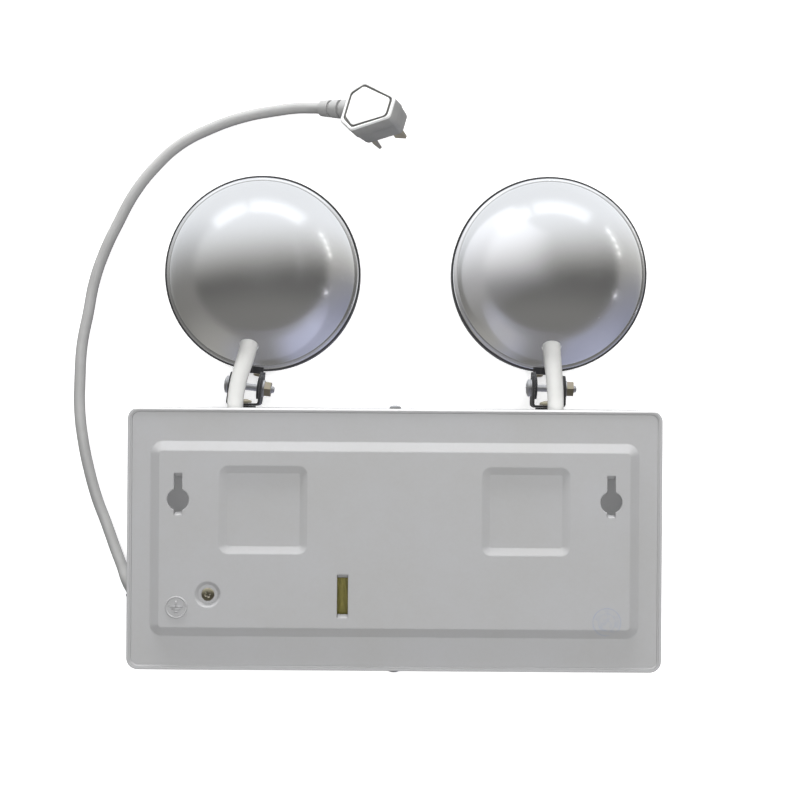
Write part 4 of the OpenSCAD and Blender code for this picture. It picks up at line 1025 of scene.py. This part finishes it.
def glow_card(name, points, faces, colour, strength):
    """A sheet that only mirrored rays see, and only on its front: it adds its glow to what lies behind it."""
    paint = bpy.data.materials.new(name)
    paint.use_nodes = True
    tree = paint.node_tree
    tree.nodes.clear()
    spot = add_node(tree, "ShaderNodeSeparateXYZ", None,
                    Vector=Wire(tree, add_node(tree, "ShaderNodeTexCoord").outputs["Object"]))
    hidden = Wire(tree, add_node(tree, "ShaderNodeNewGeometry").outputs["Backfacing"])
    glow = add_node(tree, "ShaderNodeEmission", None, Color=(*colour, 1),
                    Strength=strength(*(Wire(tree, spot.outputs[letter]) for letter in "XYZ")) * (1 - hidden))
    both = add_node(tree, "ShaderNodeAddShader")
    tree.links.new(glow.outputs[0], both.inputs[0])
    tree.links.new(add_node(tree, "ShaderNodeBsdfTransparent").outputs[0], both.inputs[1])
    out = add_node(tree, "ShaderNodeOutputMaterial")
    tree.links.new(both.outputs[0], out.inputs["Surface"])
    mesh = bpy.data.meshes.new(name)
    mesh.from_pydata(points, [], faces)
    mesh.materials.append(paint)
    card = bpy.data.objects.new(name, mesh)
    bpy.context.scene.collection.objects.link(card)
    card.visible_camera = card.visible_diffuse = card.visible_shadow = card.visible_transmission = False


hood = [(x / 1000, y, z / 1000) for x, z in HOOD_MM for y in (HOOD_FROM_Y, HOOD_TO_Y)]
glow_card("side_hood", hood, [(2 * k, 2 * k + 1, 2 * k + 3, 2 * k + 2) for k in range(len(HOOD_MM) - 1)],
          (0.98, 0.98, 1.04), lambda x, y, z: (1 - x.ease(0.0, 0.09)) * y.ease(0.075, 0.15) * HOOD_GLOW)
wall = [(x * WALL_HALF, CASE_TOP + WALL_GAP, z * WALL_HIGH) for x, z in ((1, 0), (-1, 0), (-1, 1), (1, 1))]
glow_card("wall_card", wall, [(0, 1, 2, 3)], (0.93, 0.97, 1.28),
          lambda x, y, z: (1 - (x * x) ** 0.5 / WALL_FADE).either(0) * WALL_GLOW)
print("cards hung")

# %% [markdown]
# ## The mirrored room
#
# The room is painted on the sky for mirrored rays: dark overhead, bright towards the top of the picture with
# a window in it, grey all round, a little lilac at the lower right, and a darker tongue at the bottom. `side`
# and `up` say where a ball, seen from above, mirrors a direction: 0 in its middle, 1 at its rim. All places
# below are such shares of the radius. The camera itself sees white, and the light that falls on the pieces
# is a soft grey that fades towards the table.

# %% The sky
ROOM_LIGHT = 0.27
LIGHT_BELOW = 0.35
GLOW = {"ceiling": 0.075, "day": 0.9, "ceiling_foot": 0.08, "table": 0.2, "table_day": 0.72,
        "table_right": 0.08, "table_foot": 0.16, "tongue": 0.19, "panes": 0.42, "dashes": 2.4, "spot": 4}
PANES = (-0.49, 0.2), (0.19, 0.38)
DASH_RATE = 90
SPOT_AT = 0.68, -0.19

world = bpy.data.worlds.new("room")
bpy.context.scene.world = world
world.use_nodes = True
room = world.node_tree
room.nodes.clear()
path = add_node(room, "ShaderNodeLightPath")
mirrored = Wire(room, path.outputs["Is Glossy Ray"])
shown = Wire(room, path.outputs["Is Camera Ray"]).either(Wire(room, path.outputs["Is Transmission Ray"]))
toward = add_node(room, "ShaderNodeSeparateXYZ", None,
                  Vector=Wire(room, add_node(room, "ShaderNodeTexCoord").outputs["Generated"]))
to_x, to_y, to_z = (Wire(room, toward.outputs[letter]) for letter in "XYZ")
reach = (2 + to_z * 2) ** 0.5
side, up = to_x / reach, to_y / reach
down = 0 - up
out_from_top = (side * side + up * up) ** 0.5
bearing = side / out_from_top
day = (up - side * 0.12).ease(-0.12, 0.58)
table = out_from_top.ease(0.64, 0.74)
ceiling_part = GLOW["ceiling"] + day * GLOW["day"] + down.ease(0.08, 0.45) * GLOW["ceiling_foot"]
table_part = (GLOW["table"] + up.ease(-0.1, 0.65) * GLOW["table_day"]
              + side.ease(0.1, 0.8) * GLOW["table_right"] + down.ease(0.25, 0.75) * GLOW["table_foot"])
tongue = side.band(-0.05, 0.08, 0.24) * down.ease(0.3, 0.6)
left_pane, right_pane = (bearing.band(centre, half, 0.03) for centre, half in PANES)
panes = left_pane.either(right_pane) * up.step(0, 0.1)
panes = panes * out_from_top.step(0.61, 0.62) * (1 - out_from_top.ease(0.69, 0.79))
dashes = out_from_top.band(0.735, 0.008, 0.006) * up.band(0.33, 0.13, 0.02)
dashes = dashes * side.step(0, 0.1) * up.waves(DASH_RATE).step(-0.2, 0.3)
spot_x, spot_y = side - SPOT_AT[0], up - SPOT_AT[1]
spot = 1 - ((spot_x * spot_x + spot_y * spot_y) ** 0.5).step(0.008, 0.016)
mirror_light = (ceiling_part * (1 - table) + (table_part - tongue * GLOW["tongue"]) * table
                + panes * GLOW["panes"] + dashes * GLOW["dashes"] + spot * GLOW["spot"])
lilac = (side * 0.6 - up).ease(0.3, 0.95) * table * (1 - tongue)
tint = lilac.blend(day.blend((1.0, 0.985, 0.93), (0.945, 0.975, 1.01)), (0.96, 1.0, 1.3))
soft_light = (LIGHT_BELOW + to_z.ease(-0.1, 0.4) * (1 - LIGHT_BELOW)) * ROOM_LIGHT
strength = shown + mirrored * mirror_light + (1 - shown.either(mirrored)) * soft_light
air = add_node(room, "ShaderNodeBackground", None, Color=mirrored.blend((1, 1, 1), tint), Strength=strength)
out = add_node(room, "ShaderNodeOutputWorld")
room.links.new(air.outputs[0], out.inputs["Surface"])
print("room of", len(room.nodes), "nodes")

# %% [markdown]
# ## Lamps
#
# A low wide lamp beyond the top of the picture shines on every slope that faces it, a soft ceiling lamp
# fills the rest, and a weak one stands at the right. Two small glimmers inside the case keep the keyholes
# grey, as the photograph has them.

# %% Lamps
KEYHOLE_X, KEYHOLE_Y, GLIMMER_Z = 0.105, 0.017, 0.040


def lamp(name, at, aim, size, watts):
    light = bpy.data.lights.new(name, "AREA")
    light.shape = "RECTANGLE"
    light.size, light.size_y = size
    light.energy = watts
    obj = bpy.data.objects.new(name, light)
    obj.location = at
    obj.rotation_euler = (Vector(aim) - Vector(at)).to_track_quat("-Z", "Y").to_euler()
    bpy.context.scene.collection.objects.link(obj)
    obj.visible_glossy = False
    return obj


lamp("window_lamp", at=(-0.2, 1.6, 0.2), aim=(0, 0.06, 0.04), size=(1.4, 0.25), watts=46)
lamp("ceiling_lamp", at=(0, 0.1, 1.5), aim=(0, 0.1, 0), size=(1.0, 1.0), watts=17)
lamp("side_lamp", at=(1.0, 0.4, 0.9), aim=(0, 0.06, 0), size=(0.7, 0.7), watts=4)
for x in (-KEYHOLE_X, KEYHOLE_X):
    glimmer = lamp("keyhole_glimmer", at=(x, KEYHOLE_Y, GLIMMER_Z), aim=(x, KEYHOLE_Y, 0), size=(0.03, 0.03),
                   watts=0.006)
    glimmer.visible_camera = False
bpy.context.scene.view_settings.view_transform = "Standard"
print("lights", len(bpy.data.lights))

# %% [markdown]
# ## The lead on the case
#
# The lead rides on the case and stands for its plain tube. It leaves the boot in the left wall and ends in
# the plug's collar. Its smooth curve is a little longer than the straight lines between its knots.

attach(cord, "case")
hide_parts("power_cord")

low, high = cad_bounds
